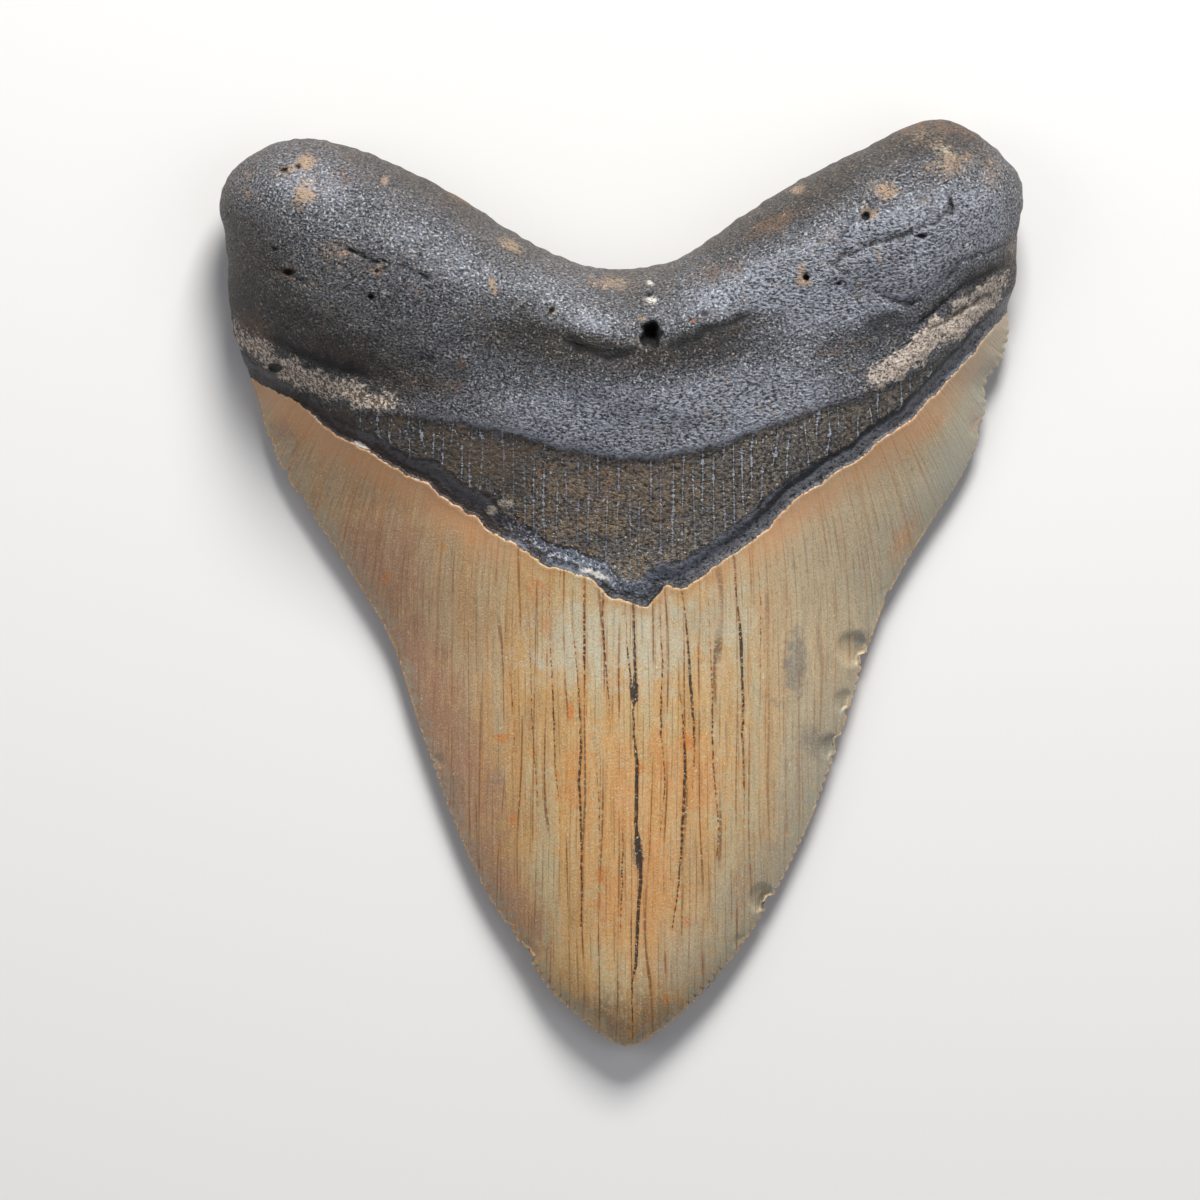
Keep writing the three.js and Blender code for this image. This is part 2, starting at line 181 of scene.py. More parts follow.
outer_enamel_border = curve_through([
    (-54, 28.0), (-44.0, 25.5), (-30.0, 22.0), (-14.0, 17.5), (0.0, 15.0), (14.0, 17.5), (30.0, 23.5),
    (44.0, 30.5), (54, 36.0),
], steps=8)


def left_edge_at(y):
    return np.interp(y, left_edge[:, 1], left_edge[:, 0])


def right_edge_at(y):
    return np.interp(y, right_edge[::-1, 1], right_edge[::-1, 0])


def nearest_on(line, x, y):
    """Distance to a line, and how far along it the nearest point lies."""
    s = lengths_along(line)
    best = np.full(x.shape, 1e9)
    place = np.zeros(x.shape)
    for i in range(len(line) - 1):
        ax, ay = line[i]
        bx, by = line[i + 1] - line[i]
        size = bx * bx + by * by
        if size == 0:
            continue
        t = np.clip(((x - ax) * bx + (y - ay) * by) / size, 0, 1)
        d = np.hypot(x - ax - t * bx, y - ay - t * by)
        closer = d < best
        best[closer] = d[closer]
        place[closer] = (s[i] + t * math.sqrt(size))[closer]
    return best, place


def across(line, x, y):
    """Distance from a border, positive on the root side of it."""
    return nearest_on(line, x, y)[0] * np.sign(y - np.interp(x, line[:, 0], line[:, 1]))


print("enamel border rises by, mm:", round(np.ptp(enamel_border[:, 1]), 1))

# %% [markdown]
# ## A sheet in the shape of the tooth
# The tooth starts as a flat grid, because its long lines all run from the root to the tip.
# The grid's four sides are laid along four stretches of the outline and the inside follows,
# as cloth follows a frame. So every column of the grid runs the way the enamel grows.

# %% Helpers for edit mode
def activate(piece):
    bpy.ops.object.select_all(action="DESELECT")
    piece.select_set(True)
    bpy.context.view_layer.objects.active = piece


def read_all(items, name, kind=float, width=1):
    """One number, or a row of a few, for every item of a mesh."""
    values = np.empty(len(items) * width, kind)
    items.foreach_get(name, values)
    return values if width == 1 else values.reshape(-1, width)


def read_points(piece):
    """The vertices of a piece, in millimetres."""
    return read_all(piece.data.vertices, "co", width=3) / MM


def write_points(piece, points):
    piece.data.vertices.foreach_set("co", (points * MM).ravel())
    piece.data.update()


def face_centres(piece):
    return read_all(piece.data.polygons, "center", width=3)[:, :2].T / MM


def select_faces(piece, chosen):
    """Selects faces, with their edges and corners, for the next operator in edit mode."""
    mesh = piece.data
    loop_face = np.repeat(np.arange(len(mesh.polygons)), [p.loop_total for p in mesh.polygons])
    on = chosen[loop_face]
    corners = np.zeros(len(mesh.vertices), bool)
    edges = np.zeros(len(mesh.edges), bool)
    corners[read_all(mesh.loops, "vertex_index", np.int32)[on]] = True
    edges[read_all(mesh.loops, "edge_index", np.int32)[on]] = True
    mesh.vertices.foreach_set("select", corners)
    mesh.edges.foreach_set("select", edges)
    mesh.polygons.foreach_set("select", chosen)
    mesh.update()


def split_faces(piece, chosen):
    """Splits each chosen face into four."""
    select_faces(piece, chosen)
    bpy.ops.object.mode_set(mode="EDIT")
    bpy.ops.mesh.subdivide(number_cuts=1)
    bpy.ops.object.mode_set(mode="OBJECT")
    print("faces after splitting:", len(piece.data.polygons))


def keep_values(piece, name, values):
    """Stores one number per vertex, which later operators carry along."""
    layer = piece.data.attributes.get(name) or piece.data.attributes.new(name, "FLOAT", "POINT")
    layer.data.foreach_set("value", values.astype(np.float32))


def kept_values(piece, name):
    return read_all(piece.data.attributes[name].data, "value", np.float32).astype(float)


# %% Lay a grid over the outline
columns = 226
rows = 254
side_points = 600
bpy.ops.object.select_all(action="DESELECT")
bpy.ops.mesh.primitive_grid_add(x_subdivisions=columns, y_subdivisions=rows, size=1)
tooth = bpy.context.object
tooth.name = "tooth_dressed"


def corner_index(x, y):
    return int(np.argmin(np.hypot(outline[:, 0] - x, outline[:, 1] - y)))


def stretch(start, end):
    """Even points along the outline, clockwise from one corner to another."""
    if end > start:
        return even_points(outline[start:end + 1], side_points)
    return even_points(np.vstack([outline[start:], outline[:end + 1]]), side_points)


def at_share(side, share):
    return points_at(side, np.arange(side_points), share * (side_points - 1))


left_lobe = corner_index(-50.6, 53.6)
right_lobe = corner_index(51.2, 53.8)
right_tip = corner_index(11.0, -53.0)
left_tip = corner_index(-10.0, -52.0)
top_side = stretch(left_lobe, right_lobe)
right_side = stretch(right_lobe, right_tip)[::-1]
bottom_side = stretch(right_tip, left_tip)[::-1]
left_side = stretch(left_tip, left_lobe)

grid = np.clip(read_points(tooth)[:, :2] * MM + 0.5, 0, 1)
u = grid[:, 0]
v = grid[:, 1]
along_sides = mix(at_share(bottom_side, u), at_share(top_side, u), v[:, None])
along_sides += mix(at_share(left_side, v), at_share(right_side, v), u[:, None])
lower = mix(bottom_side[0], bottom_side[-1], u[:, None])
upper = mix(top_side[0], top_side[-1], u[:, None])
flat = along_sides - mix(lower, upper, v[:, None])
write_points(tooth, np.column_stack([flat, np.zeros(len(flat))]))
areas = np.array([p.area * p.normal.z for p in tooth.data.polygons])
print("faces:", len(areas), "folded faces:", int((areas <= 0).sum()))

# %% Finer faces where the detail is finest
edge_zone = 1.0
border_zone = 0.7
coarse_edges = [even_points(edge, 160) for edge in (right_edge, left_edge)]
x, y = face_centres(tooth)
near_edge = np.minimum(*[nearest_on(edge, x, y)[0] for edge in coarse_edges]) < edge_zone
near_border = np.abs(across(enamel_border, x, y)) < border_zone
split_faces(tooth, near_edge | near_border)

# %% [markdown]
# ## Room for the round rim of the root
# The root is a thick, round bar, so its side is steep and needs many rows close to the rim,
# while the sharp cutting edges need none. The rows near the rim are moved out towards it the
# way equal steps round a quarter circle look from above.

# %% Rows gather at the round rim
rim_radius = 14.0
rim_fade = 10.0


def on_outline(place, step=0.4):
    """The point of the outline at a place along it, and the direction that points inwards there."""
    point, ahead, behind = [
        points_at(closed_outline, outline_s, place + shift) for shift in (0, step, -step)
    ]
    way = ahead - behind
    way /= np.maximum(np.linalg.norm(way, axis=1, keepdims=True), 1e-9)
    return point, np.column_stack([way[:, 1], -way[:, 0]])


points = read_points(tooth)
inside, place = nearest_on(closed_outline, points[:, 0], points[:, 1])
rim_point, inward = on_outline(place)
is_rim = inside < 1e-4
is_round = plateau(0, rim_fade, rim_length - rim_fade, rim_length, place)
quarter = np.minimum(inside / rim_radius, 1) * math.pi / 2
gathered = np.where(inside < rim_radius, rim_radius * (1 - np.cos(quarter)), inside)
new_inside = mix(inside, gathered, is_round)
scale = np.where(is_rim, 1, new_inside / np.maximum(inside, 1e-6))
points[:, :2] = rim_point + (points[:, :2] - rim_point) * scale[:, None]
inside = np.where(is_rim, 0, new_inside)
print("vertices moved towards the rim:", int((is_round > 0.5).sum()))

# %% [markdown]
# ## Saw teeth and chips
# Both cutting edges carry small round saw teeth, a little over a millimetre apart. Age has
# worn some of them and broken a few chips out of the edge. They are pushed into the sheet
# from its border, so the same teeth show on both faces of the blade.

# %% Soft random patterns
def soft_noise(x, y, size, seed):
    """Smooth random hills between -1 and 1, about one size across."""
    table = np.random.default_rng(seed).uniform(-1, 1, (128, 128))
    gx = x / size + 500
    gy = y / size + 500
    ix = np.floor(gx).astype(int)
    iy = np.floor(gy).astype(int)
    fx = smooth_step(0, 1, gx - ix)
    fy = smooth_step(0, 1, gy - iy)
    a = table[ix % 128, iy % 128]
    b = table[(ix + 1) % 128, iy % 128]
    c = table[ix % 128, (iy + 1) % 128]
    d = table[(ix + 1) % 128, (iy + 1) % 128]
    return mix(mix(a, b, fx), mix(c, d, fx), fy)


def bumps(x, y, *layers):
    """A sum of soft random hills. Each layer has a height, a size in mm and a seed."""
    return sum(height * soft_noise(x, y, size, seed) for height, size, seed in layers)


def from_photo(px, py):
    """A place in the photograph as millimetres on the tooth."""
    x = (px - tooth_middle_in_photo[0]) / pixels_per_mm
    return x, (tooth_middle_in_photo[1] - py) / pixels_per_mm


def line_from_photo(path):
    return np.column_stack(from_photo(*np.array(path, float).T))


# %% Saw teeth
saw_pitch = 1.25
saw_depth = 0.55
saw_roundness = 0.65
saw_reach = 0.5
rim_bump_reach = 2.5
on_left = place > rim_length + right_length
along_edge = np.where(on_left, place - right_length, place) - rim_length
from_ends = np.minimum(along_edge, np.where(on_left, left_length, right_length) - along_edge)
on_edge = smooth_step(0.3, 5, from_ends) * (place > rim_length)
one_way = np.zeros(len(place))
wear = np.clip(0.7 + bumps(place, one_way, (0.75, 4.0, 3)), 0.12, 1.3)
waver = bumps(place, one_way, (0.12, 2.2, 8))
saw = np.abs(np.sin(math.pi * (along_edge + waver) / saw_pitch)) ** saw_roundness
push = saw_depth * wear * (1 - saw) * on_edge * np.exp(-inside / saw_reach)

rim_bumps = 0.05 + bumps(points[:, 0], points[:, 1], (0.12, 0.8, 4), (0.06, 2.3, 5))
on_rim = (place < rim_length) * smooth_step(0, 3, np.minimum(place, rim_length - place))
push += on_rim * rim_bumps * np.exp(-inside / rim_bump_reach)
print("saw teeth on each edge, about:", round((left_length + right_length) / 2 / saw_pitch))

# %% Chips in the cutting edges
# Each chip: its place in the photograph, its reach and its depth in millimetres, and how deep
# the scoop in the upper face is.
chips = [
    ((863, 659), 1.0, 0.6, 0.3), ((852, 649), 1.7, 0.0, 0.75), ((847, 712), 0.8, 0.4, 0.2),
    ((845, 702), 1.2, 0.0, 0.5), ((840, 742), 0.9, 0.5, 0.2), ((832, 747), 1.3, 0.0, 0.6),
    ((768, 902), 1.1, 0.6, 0.3), ((762, 899), 1.5, 0.0, 0.65), ((990, 385), 1.9, 0.8, 0.3),
    ((981, 428), 1.2, 0.5, 0.3), ((888, 596), 1.0, 0.4, 0.2), ((740, 943), 0.8, 0.3, 0.3),
    ((301, 500), 1.1, 0.3, 0.2), ((1004, 346), 1.8, 0.25, 0.3), ((996, 372), 1.5, 0.4, 0.35),
    ((285, 474), 0.8, 0.5, 0.3), ((311, 513), 0.8, 0.45, 0.3), ((275, 440), 1.5, 0.15, 0.3),
    ((438, 762), 0.7, 0.2, 0.3), ((525, 954), 1.5, 0.5, 0.4), ((509, 928), 1.0, 0.3, 0.2),
]
chip_reach = 1.2
broken = 1 + bumps(points[:, 0], points[:, 1], (0.35, 0.5, 21))
for middle, reach, depth, _ in chips:
    x, y = from_photo(*middle)
    near = np.hypot(rim_point[:, 0] - x, rim_point[:, 1] - y) / reach
    push += depth * broken * (1 - smooth_step(0.35, 1, near)) * np.exp(-inside / chip_reach)
points[:, :2] += inward * push[:, None]
keep_values(tooth, "inside", inside)
write_points(tooth, np.column_stack([points[:, :2], np.zeros(len(points))]))
print("deepest push into an edge, mm:", round(float(push.max()), 2))

# %% [markdown]
# ## The swollen inner face
# Seen from the side, the blade is a lens that grows thicker where it is wider, and the root
# is a round bar that bulges most around the feeding hole. The height of the face is worked
# out from those two forms, blended across the dark band, and then the steps, creases and
# holes are cut into it.

# %% Main forms
cutting_edge_height = 2.7
root_rim_height = 7.4
tip_lift = 1.0
base_half_width = 46
crown_bulge = 15.4
root_bulge = 17.8
foramen_bulge = 3.4


def hill(x, y, middle, half_width, half_height):
    """A soft hill that is 1 high in its middle."""
    return np.exp(-(((x - middle[0]) / half_width) ** 2) - ((y - middle[1]) / half_height) ** 2)


def across_crown(x, y):
    """0 halfway between the cutting edges and 1 on them."""
    left = left_edge_at(y)
    right = right_edge_at(y)
    return np.minimum(1, np.abs((2 * x - left - right) / (right - left)))


def rim_height(x, y):
    """Height of the line where the two faces meet."""
    shoulder = 24 + 7 * smooth_step(-30, 30, x) - 4 * np.exp(-((x / 16) ** 2))
    root = smooth_step(shoulder, shoulder + 17, y)
    lift = tip_lift * smooth_step(38, 60, -y)
    return mix(cutting_edge_height, root_rim_height, root) + lift


def rounded_edge(inside, radius):
    t = np.minimum(1, inside / radius)
    return np.maximum(0, 1 - (1 - t) ** 2) ** 0.56


def crown_form(x, y):
    half_width = (right_edge_at(y) - left_edge_at(y)) / 2
    u = across_crown(x, y)
    return crown_bulge * (half_width / base_half_width) ** 0.8 * (1 - u**2.1) ** 0.86


def root_form(x, y, inside):
    spread = np.abs(x) / (tooth_width / 2)
    arm = root_bulge * (1 - 0.3 * spread**1.6)
    middle = foramen_bulge * hill(x, y, (0, 27), 17, 10)
    return (arm + middle) * rounded_edge(inside, rim_radius)


def lumps(x, y):
    """Low swellings of the root, up to about a third of a millimetre."""
    broad = np.sin(x / 5.1 + 0.6) * np.cos(y / 4.3 + x / 17)
    small = np.sin(x / 2.3 + y / 3.1) * np.cos(y / 2.1 - x / 4.4)
    return 0.24 * broad + 0.12 * small


middle_of_blade = crown_form(np.zeros(1), np.zeros(1))[0]
print("bulge at the middle of the tooth, mm:", round(middle_of_blade, 1))

# %% [markdown]
# ## Steps, holes and creases
# A thin lip ends the enamel, a smooth groove runs above it, and the band lies a little lower
# than the root. They are profiles of the distance from a border, so they follow its bends.
# Holes and creases of the root are few and each is different, so they are listed by place.

# %% Steps between enamel, band and root
lip_height = 0.05
groove_depth = 0.62
ridge_height = 0.22
band_depth = 0.4
root_step = 0.2


def enamel_distance(x, y):
    """Distance above the enamel border on the inner face, with the border's small jags."""
    return across(enamel_border, x, y) + bumps(x, y, (0.16, 1.0, 31), (0.1, 0.45, 32))


def root_distance(x, y):
    return across(root_border, x, y) + bumps(x, y, (0.3, 1.6, 33))


def border_steps(x, y):
    """Height of lip, groove, ridge, band and foot of the root above the plain form."""
    from_enamel = enamel_distance(x, y)
    from_root = root_distance(x, y)
    groove_width = 2.4 + bumps(x, y, (0.9, 6, 34))
    ridge_place = 2.4 + bumps(x, y, (0.5, 5, 35))
    lip = lip_height * np.exp(-(((from_enamel + 0.3) / 0.4) ** 2))
    groove = groove_depth * smooth_step(-0.12, 0.3, from_enamel)
    groove *= 1 - smooth_step(0.4, 1.5, from_enamel / groove_width)
    ridge = ridge_height * np.exp(-(((from_enamel - ridge_place) / 0.6) ** 2))
    groove -= ridge * (1 - smooth_step(22, 32, np.abs(x)))
    band = band_depth * smooth_step(0, 2.5, from_enamel) * (1 - smooth_step(-0.8, 0.9, from_root))
    return lip - groove - band + root_step * plateau(-0.5, 0.6, 4, 14, from_root)


# %% Holes and creases of the root
# Each hole: its place in the photograph, then its half width, half height and depth in mm.
root_holes = [
    ((651, 336), 1.25, 1.65, 3.6), ((649, 296), 0.45, 0.4, 0.5), ((805, 279), 0.6, 0.5, 1.0),
    ((865, 218), 0.55, 0.5, 0.9), ((930, 206), 0.6, 0.45, 0.9), ((949, 207), 0.45, 0.7, 0.7),
    ((920, 238), 0.9, 0.4, 0.6), ((770, 283), 0.75, 0.55, 0.3), ((838, 285), 0.4, 0.35, 0.6),
    ((552, 312), 0.6, 0.45, 0.7), ((705, 315), 0.7, 0.4, 0.25), ((290, 274), 0.6, 0.5, 0.8),
    ((372, 298), 0.55, 0.35, 0.8), ((286, 171), 0.5, 0.35, 0.8), ((300, 168), 0.45, 0.35, 0.7),
    ((262, 213), 0.35, 0.35, 0.5), ((277, 250), 0.35, 0.3, 0.5), ((276, 368), 1.3, 0.7, 1.0),
    ((417, 306), 0.3, 0.25, 0.4), ((378, 273), 0.5, 0.3, 0.5),
]
# Each crease: points along it in the photograph, its half width and its depth in mm.
root_creases = [
    ([(312, 236), (333, 241)], 0.4, 0.25),
    ([(333, 241), (345, 250), (360, 255), (372, 262), (390, 264), (405, 268), (418, 273), (438, 286)],
      0.32, 0.75),
    ([(438, 286), (452, 292), (470, 300)], 0.5, 0.3),
    ([(250, 268), (270, 272), (290, 274), (318, 292)], 0.7, 0.3),
    ([(556, 336), (580, 346), (600, 353), (612, 357), (627, 352), (642, 347)], 1.0, 0.9),
    ([(520, 330), (556, 336)], 1.3, 0.35),
    ([(660, 347), (682, 346), (703, 334), (725, 324), (743, 318), (762, 315)], 1.3, 0.5),
    ([(822, 272), (845, 255), (870, 246), (900, 236), (925, 228), (948, 214), (965, 205)], 0.8, 0.4),
    ([(830, 262), (850, 222), (880, 208), (905, 205)], 0.9, 0.3),
    ([(1012, 262), (985, 275), (955, 292), (925, 318), (905, 330)], 0.9, 0.45),
    ([(1018, 236), (990, 250), (962, 262), (935, 290)], 0.7, 0.35),
    ([(1004, 290), (978, 300), (950, 318), (925, 335)], 0.8, 0.4),
    ([(870, 292), (900, 305), (930, 300)], 0.9, 0.35),
    ([(262, 330), (300, 352), (340, 368), (380, 380)], 1.6, 0.5),
]
# Where the foot of the root has crumbled to rough pale stone: points along it and half its
# width in mm.
crumbly_ledges = [
    ([(232, 328), (250, 342), (282, 366), (318, 386), (360, 400), (405, 411)], 1.55),
    ([(872, 384), (905, 360), (940, 333), (975, 306), (1002, 284)], 1.55),
]


def crumbly_field(x, y):
    """How crumbly the stone is, from 0 to 1."""
    field = np.zeros(x.shape)
    ragged = bumps(x, y, (0.5, 1.4, 44), (0.3, 0.6, 45))
    for path, half_width in crumbly_ledges:
        line = line_from_photo(path)
        d, s = nearest_on(line, x, y)
        length = lengths_along(line)[-1]
        ends = plateau(-1, 5, length - 5, length + 1, s)
        ledge = 1 - smooth_step(0.2, 1.5, d / half_width + ragged)
        field = np.maximum(field, (0.3 + 0.7 * ends) * ledge)
    return field


def crease_depth(x, y):
    """Depth of the V-shaped creases, with ragged sides and faded ends."""
    depth = np.zeros(x.shape)
    wander = bumps(x, y, (0.25, 1.1, 41))
    ragged = 1.15 + bumps(x, y, (0.75, 0.9, 43))
    for path, half_width, deepest in root_creases:
        line = line_from_photo(path)
        d, s = nearest_on(line, x + wander, y - wander)
        length = lengths_along(line)[-1]
        taper = min(2.5, length / 3)
        ends = plateau(0, taper, length - taper, length, s)
        cut = np.maximum(0, 1 - d * ragged / half_width)
        depth = np.maximum(depth, deepest * cut * (0.2 + 0.8 * ends))
    return depth


def hole_depth(x, y):
    depth = np.zeros(x.shape)
    rough = 1 + bumps(x, y, (0.3, 0.9, 42))
    for middle, half_width, half_height, deepest in root_holes:
        cx, cy = from_photo(*middle)
        r = np.hypot((x - cx) / half_width, (y - cy) / half_height) * rough
        depth = np.maximum(depth, deepest * (1 - smooth_step(0.35, 1.1, r)))
    return depth


print("holes:", len(root_holes), "creases:", len(root_creases))

# %% [markdown]
# ## Long cracks of the blade
# The enamel split along its growth as it dried, in lines from the border towards the tip.
# Each crack is a path down the photograph. What is stored on the mesh is a number that is
# whole on every crack, because that stays exact between vertices, where a distance would not.

# %% Long cracks of the blade
# Each crack: points down it in the photograph, then its strength at its top, middle and foot.
blade_cracks = [
    ([(506, 610), (508, 657), (511, 682), (514, 723), (517, 800)], (0.1, 0.5, 0.1)),
    ([(529, 610), (531, 682), (532, 723), (534, 753), (537, 784), (540, 850)], (0.2, 0.6, 0.1)),
    ([(549, 575), (550, 641), (552, 678), (554, 723), (555, 764), (559, 804), (561, 860)],
      (0.3, 0.7, 0.1)),
    ([(570, 600), (576, 657), (578, 682), (580, 711), (581, 743), (579, 784), (581, 825), (582, 898),
      (581, 925)], (0.2, 1.0, 0.6)),
    ([(584, 580), (584, 615), (584, 662), (585, 694), (588, 730)], (0.4, 0.9, 0.0)),
    ([(594, 700), (596, 764), (599, 804), (600, 845), (597, 925)], (0.1, 0.5, 0.2)),
    ([(603, 594), (602, 621), (605, 662), (609, 702), (611, 740)], (0.6, 0.8, 0.1)),
    ([(623, 800), (623, 837), (622, 886), (620, 945)], (0.0, 0.8, 0.2)),
    ([(625, 612), (626, 640), (628, 657), (631, 682), (632, 700)], (0.3, 0.8, 0.4)),
    ([(633, 606), (634, 641), (635, 670), (634, 694), (632, 712), (634, 743), (637, 764), (636, 815),
      (637, 845), (641, 872), (639, 900), (637, 935), (636, 965), (632, 980), (627, 1005), (626, 1020)],
      (0.9, 1.5, 1.0)),
    ([(659, 590), (661, 640), (663, 662), (661, 694), (661, 735), (664, 764), (665, 784), (662, 815),
      (660, 835)], (0.3, 0.8, 0.3)),
    ([(676, 640), (679, 690), (682, 711), (684, 743), (685, 776), (683, 809), (682, 835), (680, 866),
      (677, 898), (672, 930)], (0.0, 1.1, 0.5)),
    ([(681, 588), (685, 617), (688, 647), (690, 682), (692, 706), (694, 731), (694, 764), (692, 790)],
      (0.5, 1.1, 0.4)),
    ([(708, 600), (710, 649), (712, 694), (712, 735), (713, 764), (716, 800), (719, 830), (716, 860)],
      (0.2, 0.7, 0.5)),
    ([(733, 556), (736, 596), (739, 621), (741, 647), (742, 682), (743, 711), (742, 735), (743, 755),
      (744, 780), (744, 860)], (0.5, 1.0, 0.1)),
    ([(757, 560), (760, 604), (760, 640), (759, 700)], (0.3, 0.5, 0.1)),
]
# Where a crack has crumbled wider: its place in the photograph, its half width and half height
# in pixels, and how much stronger the crack is there.
crumbled_places = [((635, 693), (10, 9), 3.0), ((638, 852), (9, 14), 2.4), ((740, 640), (8, 24), 0.6)]
least_gap = 0.12
outermost_gap = 8


def oval_reach(x, y, middle, half_sizes, lean=0):
    """How far from the middle of a leaning oval a place lies, 1 on the oval itself."""
    cx, cy = from_photo(*middle)
    turn = math.radians(lean)
    along_x = (x - cx) * math.cos(turn) + (y - cy) * math.sin(turn)
    along_y = (y - cy) * math.cos(turn) - (x - cx) * math.sin(turn)
    return np.hypot(along_x / half_sizes[0], along_y / half_sizes[1]) * pixels_per_mm


def crack_places(y):
    """Where each crack lies at these heights, from left to right, and its strength there."""
    places = []
    strengths = []
    for path, (top, middle, foot) in blade_cracks:
        line = line_from_photo(path)[::-1]
        places.append(np.interp(y, line[:, 1], line[:, 0]) + bumps(y, y * 0, (0.05, 1.3, 51)))
        share = (y - line[0, 1]) / (line[-1, 1] - line[0, 1])
        strengths.append(np.interp(share, [-0.02, 0, 0.5, 1, 1.02], [0, foot, middle, top, 0]))
    room = least_gap * np.arange(len(places))[:, None]
    return np.maximum.accumulate(np.array(places) + room, axis=0) - room, np.array(strengths)


def crack_fields(x, y):
    """A number that is whole on each crack and grows to the right, the gap, and the strength."""
    places, strengths = crack_places(y)
    places = np.vstack([places[:1] - outermost_gap, places, places[-1:] + outermost_gap])
    strengths = np.pad(strengths, ((1, 1), (0, 0)))
    number = np.empty(x.shape)
    gap = np.empty(x.shape)
    power = np.zeros(x.shape)
    last = len(places) - 2
    for i in range(last + 1):
        a, b = places[i], places[i + 1]
        between = ((x >= a) | (i == 0)) & ((x < b) | (i == last))
        share = (x - a) / np.maximum(b - a, 0.05)
        number[between] = (i + share)[between]
        gap[between] = (b - a)[between]
        power[between] = np.where(share < 0.5, strengths[i], strengths[i + 1])[between]
    for middle, half_sizes, more in crumbled_places:
        power = power * (1 + more * np.exp(-oval_reach(x, y, middle, half_sizes) ** 2))
    return number, np.clip(gap, 0.2, outermost_gap), power


print("cracks:", len(blade_cracks))

# %% Finer faces along creases and cracks
def path_distance(paths, x, y):
    return np.minimum.reduce([nearest_on(line_from_photo(path), x, y)[0] for path in paths])


strong_cracks = [path for path, powers in blade_cracks if max(powers) >= 1]
thin_creases = [path for path, half_width, _ in root_creases if half_width < 1.0]
crack_zone = 0.5
crease_zone = 0.7
least_depth = 0.05
x, y = face_centres(tooth)
near_crack = path_distance(strong_cracks, x, y) < crack_zone
near_crease = path_distance(thin_creases, x, y) < crease_zone
split_faces(tooth, near_crack | near_crease | (hole_depth(x, y) > least_depth))

# %% Height of the inner face
crack_depth = 0.16
crack_half_width = 0.3
thinnest = 0.05


def top_height(x, y, inside):
    """Height of the inner face, which lies on top, in millimetres."""
    from_root = across(root_border, x, y)
    height = mix(crown_form(x, y), root_form(x, y, inside), smooth_step(-13, 11, from_root))
    shallow = smooth_step(0, 4, inside)
    height += shallow * border_steps(x, y)
    rough = lumps(x, y) + bumps(x, y, (0.15, 1.8, 61), (0.09, 0.9, 62))
    height += shallow * smooth_step(0, 4, from_root) * rough
    crumbs = 0.1 + bumps(x, y, (0.2, 0.75, 63), (0.16, 1.7, 64))
    height += shallow * crumbly_field(x, y) * crumbs
    height -= hole_depth(x, y) + shallow * crease_depth(x, y)
    number, gap, power = crack_fields(x, y)
    off = np.abs(number - np.round(number)) * gap
    cut = np.minimum(power, 1) * np.maximum(0, 1 - off / crack_half_width)
    height -= smooth_step(0.3, 1.2, -enamel_distance(x, y)) * crack_depth * cut
    for middle, reach, _, scoop in chips:
        cx, cy = from_photo(*middle)
        near = np.hypot(x - cx, y - cy) / (reach * 1.25)
        height -= scoop * np.sqrt(np.clip(1 - near**2, 0, 1)) * smooth_step(0.2, 1, inside)
    return rim_height(x, y) + np.where(inside > 0, np.maximum(thinnest, height), 0)


# %% [markdown]
# ## The outer face and the seam
# The tooth lies on its outer face. It is flatter, the enamel reaches higher on it, and there
# is a shallow hollow below the root. It is a second copy of the sheet with its own heights,
# turned to face down and sewn to the first along the edge, so the two always meet exactly.

# %% Height of the outer face underneath
crown_belly = 2.86
root_belly = 7.6
root_hollow = 1.5
notch_hollow = 1.1
outer_step = 0.35


def outer_height(x, y, inside):
    """Height of the outer face, which lies underneath, in millimetres."""
    from_enamel = across(outer_enamel_border, x, y)
    along = np.maximum(0, 1 - ((y + 20) / 62) ** 2)
    crown = crown_belly * along * (1 - across_crown(x, y) ** 2) ** 0.8
    depth = mix(crown, root_belly * rounded_edge(inside, 12), smooth_step(-6, 12, from_enamel))
    hollow = root_hollow * hill(x, y, (0, 19), 20, 9) + notch_hollow * hill(x, y, (0, 36), 9, 8)
    step = outer_step * plateau(-0.2, 0.5, 2, 6, from_enamel)
    depth -= smooth_step(1, 5, inside) * (hollow + step)
    swell = 1.8 * lumps(x + 9, y) - 0.3
    depth += smooth_step(2, 6, inside) * smooth_step(2, 8, from_enamel) * swell
    return np.maximum(0, rim_height(x, y) - np.where(inside > 0, np.maximum(thinnest, depth), 0))


# %% Two faces sewn at the edge
sewing_reach = 0.001 * MM
activate(tooth)
one_side = len(tooth.data.vertices)
tooth.data.attributes.new("outer_face", "BOOLEAN", "FACE")
bpy.ops.object.mode_set(mode="EDIT")
bpy.ops.mesh.select_all(action="SELECT")
bpy.ops.mesh.duplicate()
bpy.ops.mesh.flip_normals()
bpy.ops.object.mode_set(mode="OBJECT")
points = read_points(tooth)
inside = kept_values(tooth, "inside")
x, y = points[:, 0], points[:, 1]
points[:one_side, 2] = top_height(x, y, inside)[:one_side]
points[one_side:, 2] = outer_height(x, y, inside)[one_side:]
write_points(tooth, points)
is_under = np.arange(len(tooth.data.polygons)) >= len(tooth.data.polygons) // 2
tooth.data.attributes["outer_face"].data.foreach_set("value", is_under)
bpy.ops.object.mode_set(mode="EDIT")
bpy.ops.mesh.select_all(action="SELECT")
bpy.ops.mesh.remove_doubles(threshold=sewing_reach)
bpy.ops.object.mode_set(mode="OBJECT")
print("vertices:", len(tooth.data.vertices), "of", 2 * one_side)

